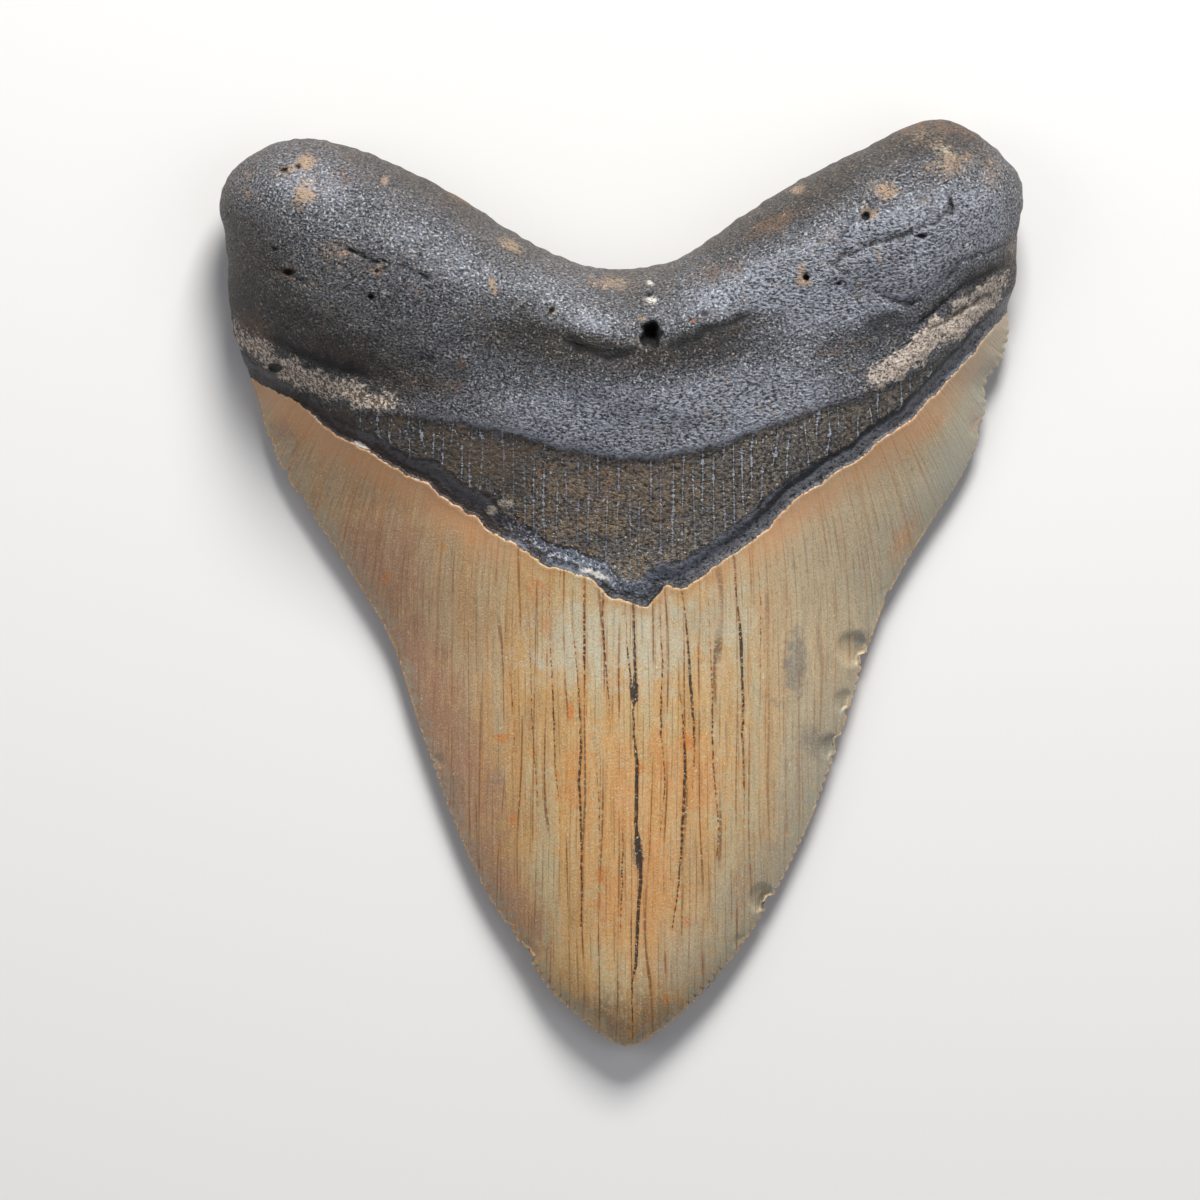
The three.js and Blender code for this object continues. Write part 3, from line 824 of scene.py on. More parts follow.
# %% Fewer faces underneath
share_kept = 0.15
whole_strip = 0.05
is_under = read_all(tooth.data.attributes["outer_face"].data, "value", bool)
inside = kept_values(tooth, "inside")
off_edge = [min(inside[i] for i in p.vertices) > whole_strip for p in tooth.data.polygons]
select_faces(tooth, is_under & np.array(off_edge))
bpy.ops.object.mode_set(mode="EDIT")
bpy.ops.mesh.decimate(ratio=share_kept)
bpy.ops.object.mode_set(mode="OBJECT")
print("triangles:", sum(len(p.vertices) - 2 for p in tooth.data.polygons))

# %% Smooth faces and its place in the frame
bpy.ops.object.shade_smooth()
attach(tooth, "root")
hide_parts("tooth")

# %% [markdown]
# ## Measures that the colours follow
# The colours change at the borders, along the cracks and with the distance from the edge, so
# each vertex keeps those measures, in millimetres. The material reads them and adds what is
# finer than the mesh. Stains are soft ovals with a place, a size and a colour of their own.

# %% Colours
def paint(red, green, blue):
    """A colour given as on a screen, made linear for the shader."""
    shares = [c / 255 for c in (red, green, blue)]
    return tuple(s / 12.92 if s < 0.0404 else ((s + 0.055) / 1.055) ** 2.4 for s in shares) + (1.0,)


AMBER = paint(205, 154, 96)
ORANGE = paint(200, 114, 40)
PALE_GREEN = paint(190, 188, 166)
MAUVE = paint(170, 128, 102)
OLIVE = paint(166, 156, 134)
UMBER = paint(132, 108, 80)
SMOKE = paint(118, 118, 112)
CREAM = paint(205, 192, 168)
SAND = paint(168, 142, 116)
WHITE = paint(226, 222, 212)
RUST = paint(112, 82, 58)
CHARCOAL = paint(46, 46, 49)
SOOT = paint(36, 32, 28)
MAROON = paint(52, 36, 34)
BLUE_GREY = paint(112, 120, 134)

# %% Stains
# Stains of one colour stand together, and a few ovals of root and band are painted sheen
# instead. Each oval: its middle and half sizes in the photograph's pixels, its lean in degrees
# and its strength.
blade_stains = [
    (AMBER, [
        ((640, 860), (100, 130), 0, 0.55), ((600, 760), (60, 60), 0, 0.4),
        ((700, 770), (50, 60), 0, 0.45), ((650, 930), (60, 60), 0, 0.35),
    ]),
    (PALE_GREEN, [
        ((628, 640), (110, 62), 0, 0.7), ((560, 650), (45, 50), 0, 0.35), ((725, 610), (36, 60), 0, 0.4),
    ]),
    (MAUVE, [
        ((430, 740), (60, 170), 18, 0.85), ((500, 900), (44, 80), 30, 0.7),
        ((480, 780), (30, 50), 10, 0.4), ((380, 560), (60, 70), 30, 0.6),
    ]),
    (OLIVE, [
        ((820, 760), (40, 130), -20, 0.7), ((750, 900), (45, 80), -32, 0.7),
        ((690, 970), (60, 45), -40, 0.6),
    ]),
    (UMBER, [((640, 1020), (64, 40), 0, 0.72)]),
    (OLIVE, [((880, 560), (40, 90), -25, 0.5), ((955, 455), (28, 60), -25, 0.6)]),
    (SMOKE, [
        ((985, 400), (16, 30), 0, 0.4), ((795, 665), (14, 40), 0, 0.8),
        ((818, 742), (26, 16), -30, 0.75), ((845, 775), (14, 30), -20, 0.5),
        ((772, 700), (26, 7), -30, 0.35), ((862, 640), (16, 12), 0, 0.6),
        ((452, 790), (20, 22), 0, 0.25), ((500, 780), (12, 18), 0, 0.2), ((690, 855), (8, 20), 0, 0.2),
    ]),
    (ORANGE, [
        ((686, 741), (8, 12), 20, 0.95), ((571, 712), (6, 13), 0, 0.8), ((502, 738), (9, 6), 0, 0.75),
        ((482, 755), (3, 3), 0, 0.9), ((640, 768), (5, 8), 0, 0.8), ((602, 875), (6, 12), 0, 0.8),
        ((513, 818), (4, 9), 0, 0.7), ((687, 922), (4, 4), 0, 0.8), ((666, 998), (5, 7), 0, 0.8),
        ((572, 775), (10, 40), 0, 0.35), ((620, 800), (12, 50), 0, 0.3), ((662, 760), (14, 40), 0, 0.3),
        ((700, 780), (16, 40), 0, 0.35), ((610, 900), (20, 40), 0, 0.3), ((650, 880), (24, 60), 0, 0.3),
        ((535, 590), (14, 18), 0, 0.35), ((545, 625), (8, 14), 0, 0.45), ((386, 578), (5, 8), -30, 0.6),
        ((444, 548), (4, 5), 0, 0.5), ((930, 425), (40, 12), 42, 0.25), ((970, 375), (34, 8), 50, 0.35),
        ((880, 460), (50, 14), 32, 0.2), ((800, 520), (60, 16), 38, 0.2),
        ((300, 430), (30, 14), -30, 0.3), ((370, 470), (50, 14), -32, 0.35),
        ((470, 530), (50, 14), -34, 0.3), ((905, 540), (12, 30), -28, 0.4),
        ((975, 420), (7, 14), 0, 0.7),
    ]),
    (SMOKE, [((290, 440), (12, 30), 15, 0.3)]),
    (MAUVE, [((283, 428), (7, 12), 10, 0.7)]),
    (RUST, [
        ((637, 852), (6, 16), 0, 0.85), ((634, 696), (5, 9), 0, 0.9), ((700, 620), (30, 26), 0, 0.18),
        ((628, 1030), (16, 8), 0, 0.25),
    ]),
]
root_stains_and_sheen = [
    (SAND, [
        ((249, 188), (3, 24), -5, 0.9), ((307, 164), (14, 10), 30, 0.9), ((287, 172), (14, 5), 10, 0.6),
        ((306, 196), (15, 13), 0, 0.75), ((385, 182), (5, 6), 0, 0.8),
    ]),
    (RUST, [((345, 178), (10, 16), 0, 0.35)]),
    (SAND, [((335, 255), (26, 14), 0, 0.3), ((378, 273), (8, 6), 0, 0.55)]),
    (RUST, [((290, 274), (7, 7), 0, 0.9)]),
    (SAND, [((494, 288), (5, 12), 20, 0.7)]),
    (RUST, [((460, 197), (18, 9), -25, 0.7)]),
    (SAND, [((512, 247), (16, 8), -28, 0.6), ((615, 284), (30, 9), -5, 0.45)]),
    (WHITE, [((650, 301), (8, 4), -8, 1.0), ((651, 284), (5, 2.5), -30, 0.95)]),
    (CREAM, [((553, 313), (5, 4), 0, 0.8)]),
    (SAND, [((641, 321), (6, 4), 0, 0.7)]),
    (ORANGE, [((692, 322), (4, 3), 0, 0.8)]),
    (MAROON, [((705, 315), (6, 4), 0, 0.6)]),
    (CREAM, [((640, 347), (4, 3), 0, 0.8)]),
    (RUST, [((715, 275), (40, 12), 18, 0.35), ((770, 225), (40, 10), 24, 0.5)]),
    (SAND, [
        ((800, 275), (7, 14), -8, 0.75), ((804, 283), (10, 6), 0, 0.7), ((797, 190), (12, 7), 20, 0.6),
        ((868, 215), (11, 8), 0, 0.65), ((883, 192), (16, 11), 0, 0.7), ((877, 255), (4, 16), 15, 0.6),
    ]),
    (RUST, [((905, 128), (28, 8), 5, 0.55), ((950, 128), (36, 9), -10, 0.5)]),
    (SAND, [((925, 138), (26, 12), 0, 0.3), ((948, 165), (26, 16), 10, 0.5)]),
    (CREAM, [((940, 152), (12, 8), 0, 0.5)]),
    (SAND, [((990, 175), (16, 22), 0, 0.35), ((1012, 250), (6, 14), 0, 0.5)]),
    (RUST, [((262, 332), (20, 16), -35, 0.5)]),
    # Painted blue-grey sheen along the lower edge of the root.
    (BLUE_GREY, [((384, 414), (34, 5), -12, 0.6)]),
    (RUST, [((247, 325), (14, 18), 0, 0.55)]),
    # Dark maroon-brown, partly painted shade of the lower slope.
    (MAROON, [((345, 355), (60, 12), -16, 0.7)]),
    (RUST, [((430, 385), (60, 14), -6, 0.25)]),
    # Painted blue-grey sheen strip below the right crumbly ledge.
    (BLUE_GREY, [((968, 340), (44, 5), 38, 0.8)]),
    (CHARCOAL, [((880, 325), (34, 14), 20, 0.7)]),
    (RUST, [((835, 350), (40, 10), 10, 0.25)]),
    (SOOT, [((244, 292), (24, 64), 0, 0.5)]),
    (RUST, [((462, 365), (8, 6), 0, 0.6)]),
]
band_stains_and_sheen = [
    (WHITE, [((362, 446), (11, 3), -28, 0.9)]),
    (CREAM, [((525, 573), (12, 9), -30, 0.5)]),
    (SAND, [((545, 590), (10, 12), 0, 0.6)]),
    (CREAM, [((492, 510), (7, 5), 0, 0.7), ((508, 503), (9, 7), 0, 0.5)]),
    (BLUE_GREY, [((497, 432), (7, 6), -40, 0.8)]),
    (SAND, [((465, 425), (10, 5), 0, 0.6)]),
    (BLUE_GREY, [((520, 545), (22, 10), -35, 0.45), ((570, 570), (30, 7), -28, 0.6)]),
    (WHITE, [((596, 574), (20, 4), -22, 0.75)]),
    (CHARCOAL, [
        ((470, 545), (30, 9), -30, 0.6), ((505, 455), (46, 36), 0, 0.5), ((515, 480), (14, 14), 0, 0.55),
        ((600, 540), (13, 9), 0, 0.6),
    ]),
    (UMBER, [((640, 490), (120, 40), 0, 0.28), ((490, 460), (50, 30), 0, 0.25)]),
    (MAROON, [((345, 420), (40, 8), -28, 0.7)]),
    # The painted sheen strip going on into the band.
    (BLUE_GREY, [((960, 365), (40, 6), 40, 0.35)]),
    (WHITE, [((268, 396), (6, 9), 20, 0.75)]),
    (CHARCOAL, [((770, 540), (24, 6), 38, 0.5)]),
]


def stain_field(stains, x, y):
    """Colour and cover of overlapping stains and painted sheen: each later one lies over those before.
    """
    colour = np.zeros((len(x), 3))
    cover = np.zeros(len(x))
    ragged = bumps(x, y, (0.35, 1.3, 71), (0.25, 0.6, 72))
    for tint, ovals in stains:
        for middle, half_sizes, lean, strength in ovals:
            reach = oval_reach(x, y, middle, half_sizes, lean)
            amount = strength * (1 - smooth_step(0.25, 1.25, reach + 0.5 * ragged))
            total = cover + amount * (1 - cover)
            share = np.where(total > 1e-6, amount / np.maximum(total, 1e-6), 0)
            colour = mix(colour, np.array(tint[:3]), share[:, None])
            cover = total
    return colour, cover


print("stains:", sum(len(ovals) for _, ovals in blade_stains + root_stains_and_sheen + band_stains_and_sheen))

# %% Painted sheen and painted shade of the root
# Where a painted blue-grey sheen lies on the black stone, and where painted shade darkens it:
# the middle and half sizes in the photograph's pixels, the lean in degrees and the amount.
root_sheen_and_shade = [
    ((300, 185), (60, 34), 10, 0.6), ((400, 232), (80, 34), -22, 0.5), ((530, 290), (70, 24), -18, 0.55),
    ((590, 325), (45, 18), -8, 0.7), ((470, 330), (80, 34), -14, 0.2), ((600, 410), (150, 34), -2, 0.7),
    ((660, 432), (130, 24), 2, 1.1), ((740, 405), (110, 34), 14, 1.0), ((745, 290), (80, 26), 18, 0.8),
    ((860, 272), (100, 46), 24, 1.9), ((970, 225), (50, 44), 30, 0.9), ((900, 170), (60, 20), 22, 0.1),
    ((320, 345), (85, 26), -20, -0.8), ((258, 290), (34, 60), 0, -0.9),
    ((450, 186), (130, 22), -27, -0.65), ((585, 344), (50, 9), -10, -1.1),
    ((540, 325), (50, 24), -10, -0.45), ((540, 350), (90, 16), -12, -0.6),
    ((712, 338), (56, 10), 16, -1.0), ((700, 356), (80, 12), 10, -0.5), ((770, 316), (60, 9), 12, -0.35),
    ((860, 338), (60, 16), 22, -0.3), ((985, 272), (40, 14), 28, -0.6),
    ((800, 200), (90, 18), 30, -0.65), ((930, 136), (60, 22), 0, -0.7), ((420, 380), (60, 18), -4, -0.3),
]


def sheen_and_shade_field(x, y):
    """Painted blue-grey sheen above zero and painted shade below it, with a little random change."""
    tone = bumps(x, y, (0.12, 7, 81), (0.1, 3, 82))
    for middle, half_sizes, lean, amount in root_sheen_and_shade:
        tone += amount * np.exp(-oval_reach(x, y, middle, half_sizes, lean) ** 2)
    return tone


# %% Write the measures on the mesh
points = read_points(tooth)
x, y = points[:, 0], points[:, 1]
inside = kept_values(tooth, "inside")
faces_down = read_all(tooth.data.vertices, "normal", width=3)[:, 2] < 0
is_outer = faces_down & (points[:, 2] < rim_height(x, y) - 0.02)

# The outer face has its own border and wears the stains and cracks of the inner one, mirrored.
outer_band_width = 1.2
outer_shift = (2, -7)
outer_power = 0.8
outer_distance = across(outer_enamel_border, x, y)
from_enamel = np.where(is_outer, outer_distance, enamel_distance(x, y))
from_root = np.where(is_outer, outer_distance - outer_band_width, root_distance(x, y))
mirrored = np.where(is_outer, -x + outer_shift[0], x)
number, gap, power = crack_fields(mirrored, np.where(is_outer, y + outer_shift[1], y))

blade = stain_field(blade_stains, mirrored, y)
stone = stain_field(root_stains_and_sheen, mirrored, y)
band = stain_field(band_stains_and_sheen, x, y)
on_blade = from_enamel < 0
on_root = from_root > 0
tint = np.where(on_blade[:, None], blade[0], np.where(on_root[:, None], stone[0], band[0]))

# Lines of growth spread out towards the root, so flow is x stretched more and more there.
spread = 0.00028
spread_from = -5
for name, values in {
    "from_enamel": from_enamel,
    "from_root": from_root,
    "flow": x * np.exp(spread * np.maximum(0, y - spread_from) ** 2),
    "crack_number": number,
    "crack_gap": gap,
    "crack_power": np.where(is_outer, outer_power * power, power),
    # Depth of holes and creases, which the root's colour darkens as painted shade.
    "hollow": np.where(is_outer, 0, hole_depth(x, y) + crease_depth(x, y)),
    "stain_cover": np.where(on_blade, blade[1], np.where(on_root, stone[1], band[1])),
    # The root's painted sheen and painted shade.
    "tone": sheen_and_shade_field(mirrored, y),
    "crumbly": np.where(is_outer, 0, crumbly_field(x, y)),
}.items():
    keep_values(tooth, name, values)
stain_layer = tooth.data.attributes.new("stain", "FLOAT_COLOR", "POINT")
stain_colours = np.column_stack([tint, np.ones(len(x))]).astype(np.float32)
stain_layer.data.foreach_set("color", stain_colours.ravel())
print("vertices underneath:", int(is_outer.sum()), "of", len(points))

# %% [markdown]
# ## The finishes of the fossil
# Root, band, groove and enamel are zones of one piece of stone. Each zone has a look of its
# own: a colour, a roughness and a fine relief. The root and the blade get a material with
# one look, and the band between them one that mixes all four across the borders. Every
# pattern works in millimetres, so its size can be compared with the real thing. A look is
# built as a painter would: a ground, and then layers that show where a mask lets them.

# %% Helpers for nodes
class Bench:
    """The material that is being made, and the measures and patterns that its looks share."""


def plug(socket, value):
    """Links a pattern to a socket, or sets a plain number or screen colour on it."""
    if isinstance(value, bpy.types.NodeSocket):
        Bench.tree.links.new(value, socket)
    elif socket.type == "RGBA":
        socket.default_value = paint(*value)
    else:
        socket.default_value = value


def add(kind, inputs, output=0, **settings):
    """Adds a node, plugs values into its inputs and gives one of its outputs."""
    node = Bench.tree.nodes.new(kind)
    for name, value in settings.items():
        setattr(node, name, value)
    for name, value in inputs.items():
        plug(node.inputs[name], value)
    return node.outputs[output]


def calc(operation, *values):
    return add("ShaderNodeMath", dict(enumerate(values)), operation=operation)


def in_turn(operation, values):
    result = values[0]
    for value in values[1:]:
        result = calc(operation, result, value)
    return result


def times(*values):
    return in_turn("MULTIPLY", values)


def plus(*values):
    return in_turn("ADD", values)


def minus(first, second):
    return calc("SUBTRACT", first, second)


def size_of(value):
    return calc("ABSOLUTE", value)


def soft(low, high, value):
    """0 at low and 1 at high, with a smooth change between them."""
    ends = {"Value": value, "From Min": low, "From Max": high}
    return add("ShaderNodeMapRange", ends, interpolation_type="SMOOTHSTEP")


def mask(**ranges):
    """1 where each named measure or pattern has come from its first number to its second."""
    return times(*[soft(low, high, getattr(Bench, name)) for name, (low, high) in ranges.items()])


def blend(share, first, second):
    return add("ShaderNodeMix", {"Factor": share, 6: first, 7: second}, 2, data_type="RGBA")


def blend_number(share, first, second):
    return add("ShaderNodeMix", {"Factor": share, 2: first, 3: second}, data_type="FLOAT")


def lay_over(ground, layers):
    """Lays colours over a ground in turn. Each layer: its colour, its strength and its mask."""
    for colour, strength, share in layers:
        ground = blend(times(share, strength), ground, colour)
    return ground


def scaled(place, x_scale, y_scale, z_scale, turn=0.0, shift=0.0):
    """A place stretched by a scale along each axis, turned in degrees and shifted."""
    return add("ShaderNodeMapping", {
        "Vector": place,
        "Location": (shift, shift * 1.7, 0),
        "Rotation": (0, 0, math.radians(turn)),
        "Scale": (x_scale, y_scale, z_scale),
    })


def grain(place, per_mm, detail=2.0, rough=0.5):
    """A noise between 0 and 1, mostly near 0.5, with so many bumps to a millimetre."""
    values = {"Vector": place, "Scale": per_mm, "Detail": detail, "Roughness": rough}
    return add("ShaderNodeTexNoise", values, "Fac")


def joined(*values):
    return add("ShaderNodeCombineXYZ", dict(enumerate(values)))


def measure(name, output="Fac"):
    """A measure that is stored on the mesh."""
    return add("ShaderNodeAttribute", {}, output, attribute_name=name)


# %% Measures and patterns that the looks share
def start_material(name):
    """An empty material with its places, in millimetres, and its shared patterns."""
    material = bpy.data.materials.new(name)
    material.use_nodes = True
    Bench.tree = material.node_tree
    for kept in ("flow", "hollow", "tone", "crumbly", "inside"):
        setattr(Bench, kept, measure(kept))
    Bench.place = scaled(add("ShaderNodeTexCoord", {}, "Object"), 1 / MM, 1 / MM, 1 / MM)
    Bench.sideways, Bench.height, upwards = [
        add("ShaderNodeSeparateXYZ", {0: Bench.place}, axis) for axis in "XYZ"
    ]
    Bench.off_middle = size_of(Bench.flow)
    Bench.along_flow = joined(Bench.flow, Bench.height, times(upwards, 0.3))
    Bench.broad = grain(scaled(Bench.place, 1, 0.6, 1), 0.17, 3, 0.6)
    Bench.swells = grain(Bench.place, 0.5, 2, 0.6)
    Bench.coarse = grain(Bench.place, 1.1, 2, 0.6)
    Bench.crumble = grain(Bench.place, 2.3, 3, 0.7)
    Bench.specks = grain(Bench.place, 2.9, 1, 0.5)
    jags = times(minus(Bench.crumble, 0.5), 0.6)
    Bench.enamel = plus(measure("from_enamel"), jags)
    Bench.root = plus(measure("from_root"), times(jags, 2.4))
    Bench.stain = measure("stain", "Color")
    breaks = times(minus(plus(Bench.crumble, Bench.coarse), 1.0), 1.1)
    Bench.stained = soft(0.06, 0.75, plus(measure("stain_cover"), breaks))
    return material


def rows_of_lines(measured_across, per_mm, waver, along, shift):
    """Upright lines at an uneven pitch: the distance to the nearest in mm, and a pattern along each."""
    sway = times(grain(scaled(Bench.along_flow, 0.33, 0.03, 0.1, shift=shift), 1.0, 1), waver)
    place = plus(times(measured_across, per_mm), sway)
    off = times(size_of(minus(calc("FRACT", place), 0.5)), 1 / per_mm)
    each = joined(times(calc("FLOOR", place), 7.31), times(Bench.height, along), shift)
    return off, grain(each, 1.0, 2, 0.65)


# %% [markdown]
# ### Root
# The root is porous bone turned to black stone. Its bumps are glossy and carry a painted
# blue-grey sheen, most where it bulges, while its pits get painted black shade. So one noise of
# the right grain gives both: its peaks are painted pale and are glossy, and its troughs painted
# dark and are dull. The painted sheen comes and goes with a measure of painted sheen and shade,
# and where it is strongest the grain is smoother and wrinkled.

# %% Root
def root_look():
    """Black grainy stone: glossy grains with painted blue-grey sheen on their tops, painted shade in
    their pits, painted highlight specks, brown hints and pale crumbs.
    """
    grains = grain(scaled(Bench.place, 0.9, 1.12, 1.0, 14), 3.2, 3, 0.65)
    wrinkles = grain(scaled(Bench.place, 0.8, 1.2, 1.0, -4), 2.6, 3, 0.6)
    # Where the painted sheen is strongest the grain turns smoother and wrinkled, and the painted
    # contrast of tops and pits is softer.
    worn_and_sheen = soft(0.45, 1.25, plus(Bench.tone, times(Bench.swells, 0.3)))
    skin = blend_number(worn_and_sheen, grains, wrinkles)
    tops = soft(0.36, 0.63, skin)
    # Painted sheen and shade: tops go from dull to blue-grey and pits from black to dark grey as the
    # painted sheen grows.
    painted_sheen = mask(tone=(-0.7, 1.3))
    dull_top = blend(mask(swells=(0.4, 0.62)), (60, 58, 57), (76, 68, 60))
    low = blend(worn_and_sheen, blend(painted_sheen, (8, 7, 7), (24, 25, 28)), (48, 50, 55))
    high = blend(worn_and_sheen, blend(painted_sheen, dull_top, (152, 156, 166)), (156, 160, 170))
    # Painted highlight specks on the grain, strongest where the painted sheen is, fewer where the grain
    # is smoother.
    painted_glints = soft(0.57, 0.615, plus(times(Bench.specks, 0.6), times(grains, 0.4)))
    painted_glints = times(painted_glints, mask(tone=(-0.6, 0.8)), blend_number(worn_and_sheen, 1.0, 0.6))

    gaps = soft(0.46, 0.38, plus(times(skin, 0.5), times(Bench.coarse, 0.5)))
    crust = lay_over(blend(mask(crumble=(0.38, 0.60)), (158, 134, 114), (246, 228, 210)), [
        ((226, 222, 214), 0.8, mask(specks=(0.58, 0.66))),
        # Darker brown towards the left end: painted shade of the left ledge.
        ((96, 74, 52), 0.85, mask(flow=(-14.0, -30.0), crumble=(0.58, 0.44))),
        ((64, 52, 44), 0.85, gaps),
    ])
    broken = minus(plus(times(Bench.crumble, 0.6), times(Bench.coarse, 0.4)), 0.5)
    wider_right = times(mask(flow=(0.0, 20.0), crumbly=(0.05, 0.4)), 0.2)
    crusty = plus(Bench.crumbly, times(broken, 3.0), wider_right)

    stone = lay_over(blend(tops, low, high), [
        # Painted highlights on the sheen, sparser ones on the dark parts, and painted light on the foot.
        ((216, 220, 226), 0.7, painted_glints),
        ((168, 164, 158), 0.5, mask(specks=(0.62, 0.68), tone=(0.2, -0.5))),
        ((164, 168, 178), 0.8, mask(root=(1.3, 0.1), off_middle=(40.0, 22.0), crumble=(0.36, 0.6))),
        # Sandy and rusty crumbs, and a browner rim.
        ((126, 106, 84), 0.4, mask(coarse=(0.54, 0.64), broad=(0.5, 0.6), tone=(-0.4, 0.1))),
        ((124, 92, 66), 0.5, mask(crumble=(0.60, 0.68), swells=(0.5, 0.6), tone=(-0.4, 0.1))),
        ((80, 64, 49), 0.6, mask(inside=(7.0, 0.5), coarse=(0.40, 0.6), tone=(1.0, -0.2))),
        # Stains (a few are painted sheen strips), crumbly ledges, and painted black shade
        # in pits, holes and creases.
        (Bench.stain, 0.9, times(Bench.stained, soft(0.34, 0.5, skin))),
        (crust, 0.9, soft(0.25, 0.75, crusty)),
        ((14, 12, 12), blend_number(worn_and_sheen, 0.85, 0.3), soft(0.43, 0.30, skin)),
        ((13, 11, 10), 1.0, mask(hollow=(0.06, 0.5))),
    ])
    roughness = blend_number(tops, 0.62, blend_number(painted_sheen, 0.46, 0.3))
    return stone, roughness, plus(times(skin, 5.0), times(Bench.swells, 2.6))


# %% [markdown]
# ### Dark band
# Between root and enamel the stone is a thin brown-black crust. Fine upright rows of pale
# dots cross it, where the lines of the enamel once began. Rows at an even pitch would look
# printed, so the pitch wavers, and a noise along each row breaks it into dots.

# %% Dark band
def band_look():
    """Brown-black crust with rusty crumbs and upright rows of pale dots."""
    flecks = grain(scaled(Bench.place, 1.0, 1.15, 1.0, 6), 1.9, 3, 0.65)
    off, pattern = rows_of_lines(Bench.sideways, 0.74, 1.5, 0.16, 2.0)
    shown = times(soft(0.40, 0.54, pattern), mask(root=(-18.0, -4.0)))
    dots = grain(scaled(Bench.place, 1.5, 2.8, 1.0), 1.0, 2, 0.7)
    half_width = plus(0.02, times(soft(0.46, 0.66, dots), 0.27))
    crust = lay_over(blend(soft(0.36, 0.66, flecks), (34, 30, 26), (124, 114, 102)), [
        # Dark patches, rust, crumbs, the darker left end, and grey and pale specks.
        ((40, 36, 33), 0.7, mask(swells=(0.52, 0.40), crumble=(0.38, 0.56))),
        ((156, 122, 82), 0.75, mask(crumble=(0.47, 0.60), swells=(0.42, 0.58), flow=(14.0, -6.0))),
        ((150, 126, 94), 0.6, mask(crumble=(0.58, 0.66))),
        ((30, 26, 23), 0.55, mask(flow=(-5.0, -20.0))),
        ((112, 112, 116), 0.6, mask(specks=(0.48, 0.60), swells=(0.55, 0.4))),
        ((196, 188, 176), 0.8, mask(specks=(0.67, 0.72))),
        # Each row is a soft dark line of painted shadow with pale dots in it.
        ((22, 20, 20), 0.6, times(soft(0.42, 0.1, off), shown)),
        ((176, 182, 190), 0.85, times(soft(1.0, 0.5, calc("DIVIDE", off, half_width)), shown)),
        (Bench.stain, 0.7, Bench.stained),
    ])
    return crust, 0.5, times(flecks, 3.2)


# %% [markdown]
# ### Groove above the enamel
# A smooth dark groove follows the enamel's border, with a low paler ridge above it. On the
# right it shows as a grey wall and a black line of painted shade along its deepest part. All of
# them are bands of one measure, the distance from the border, and a noise in their masks keeps
# them from looking drawn.

# %% Groove above the enamel
def groove_look():
    """A dark smooth hollow beside the enamel, then a paler ridge that ends at a dark line."""
    rough = plus(times(Bench.coarse, 0.5), times(Bench.crumble, 0.5))
    left_side = mask(flow=(6.0, -4.0))
    away = plus(Bench.enamel, times(minus(Bench.coarse, 0.5), 1.6))
    ridge = times(soft(0.9, 1.5, away), soft(3.2, 2.4, away), mask(crumble=(0.32, 0.54)))
    deepest = soft(0.55, 0.2, size_of(minus(Bench.enamel, 2.0)))
    stone = lay_over(blend(soft(0.40, 0.60, rough), (22, 22, 24), (66, 67, 72)), [
        ((146, 153, 166), plus(0.3, times(left_side, 0.5)), ridge),
        ((50, 38, 31), 0.75, mask(flow=(-5.0, -16.0))),
        ((104, 104, 107), 0.7, mask(enamel=(1.7, 1.2), flow=(4.0, 16.0), crumble=(0.36, 0.54))),
        # Painted shade: a black line along the deepest part of the groove.
        ((14, 13, 13), 0.85, times(deepest, mask(flow=(10.0, 22.0)))),
        ((222, 226, 230), 0.9, times(ridge, left_side, mask(specks=(0.54, 0.62), flow=(-18.0, -12.0)))),
        (Bench.stain, 0.8, Bench.stained),
    ])
    return stone, 0.36, plus(times(Bench.coarse, 1.6), times(Bench.crumble, 1.8))


# %% [markdown]
# ### Enamel
# The enamel is a hard tan skin. It is built up from wide things to narrow ones: warm and
# cool regions, fine streaks along the growth, brown lines with an orange glow, and the black
# cracks with rusty seams. Last come its borders, where it thins out and turns glassy.

# %% Enamel
def cracks_of_blade():
    """How much of a place is crack, how much is the rusty seam beside it, and the strength."""
    number = measure("crack_number")
    off = times(size_of(minus(number, calc("ROUND", number))), measure("crack_gap"))
    power = measure("crack_power")
    seam_width = times(soft(0.0, 0.6, power), mask(coarse=(0.36, 0.62)), 0.95)
    seam = soft(1.0, 0.0, calc("DIVIDE", off, plus(seam_width, 0.02)))
    wider = plus(1.0, times(soft(0.7, 1.5, power), 0.6), times(soft(1.6, 3.0, power), 2.6))
    half_width = times(soft(0.0, 1.2, power), plus(0.03, times(Bench.crumble, 0.26)), wider)
    line = soft(1.0, 0.4, calc("DIVIDE", off, plus(half_width, 0.015)))
    unbroken = soft(0.38, 0.52, plus(times(Bench.crumble, 0.7), times(power, 0.14)))
    line = times(line, unbroken, soft(0.02, 0.3, power))
    return line, times(seam, mask(crumble=(0.36, 0.6))), power


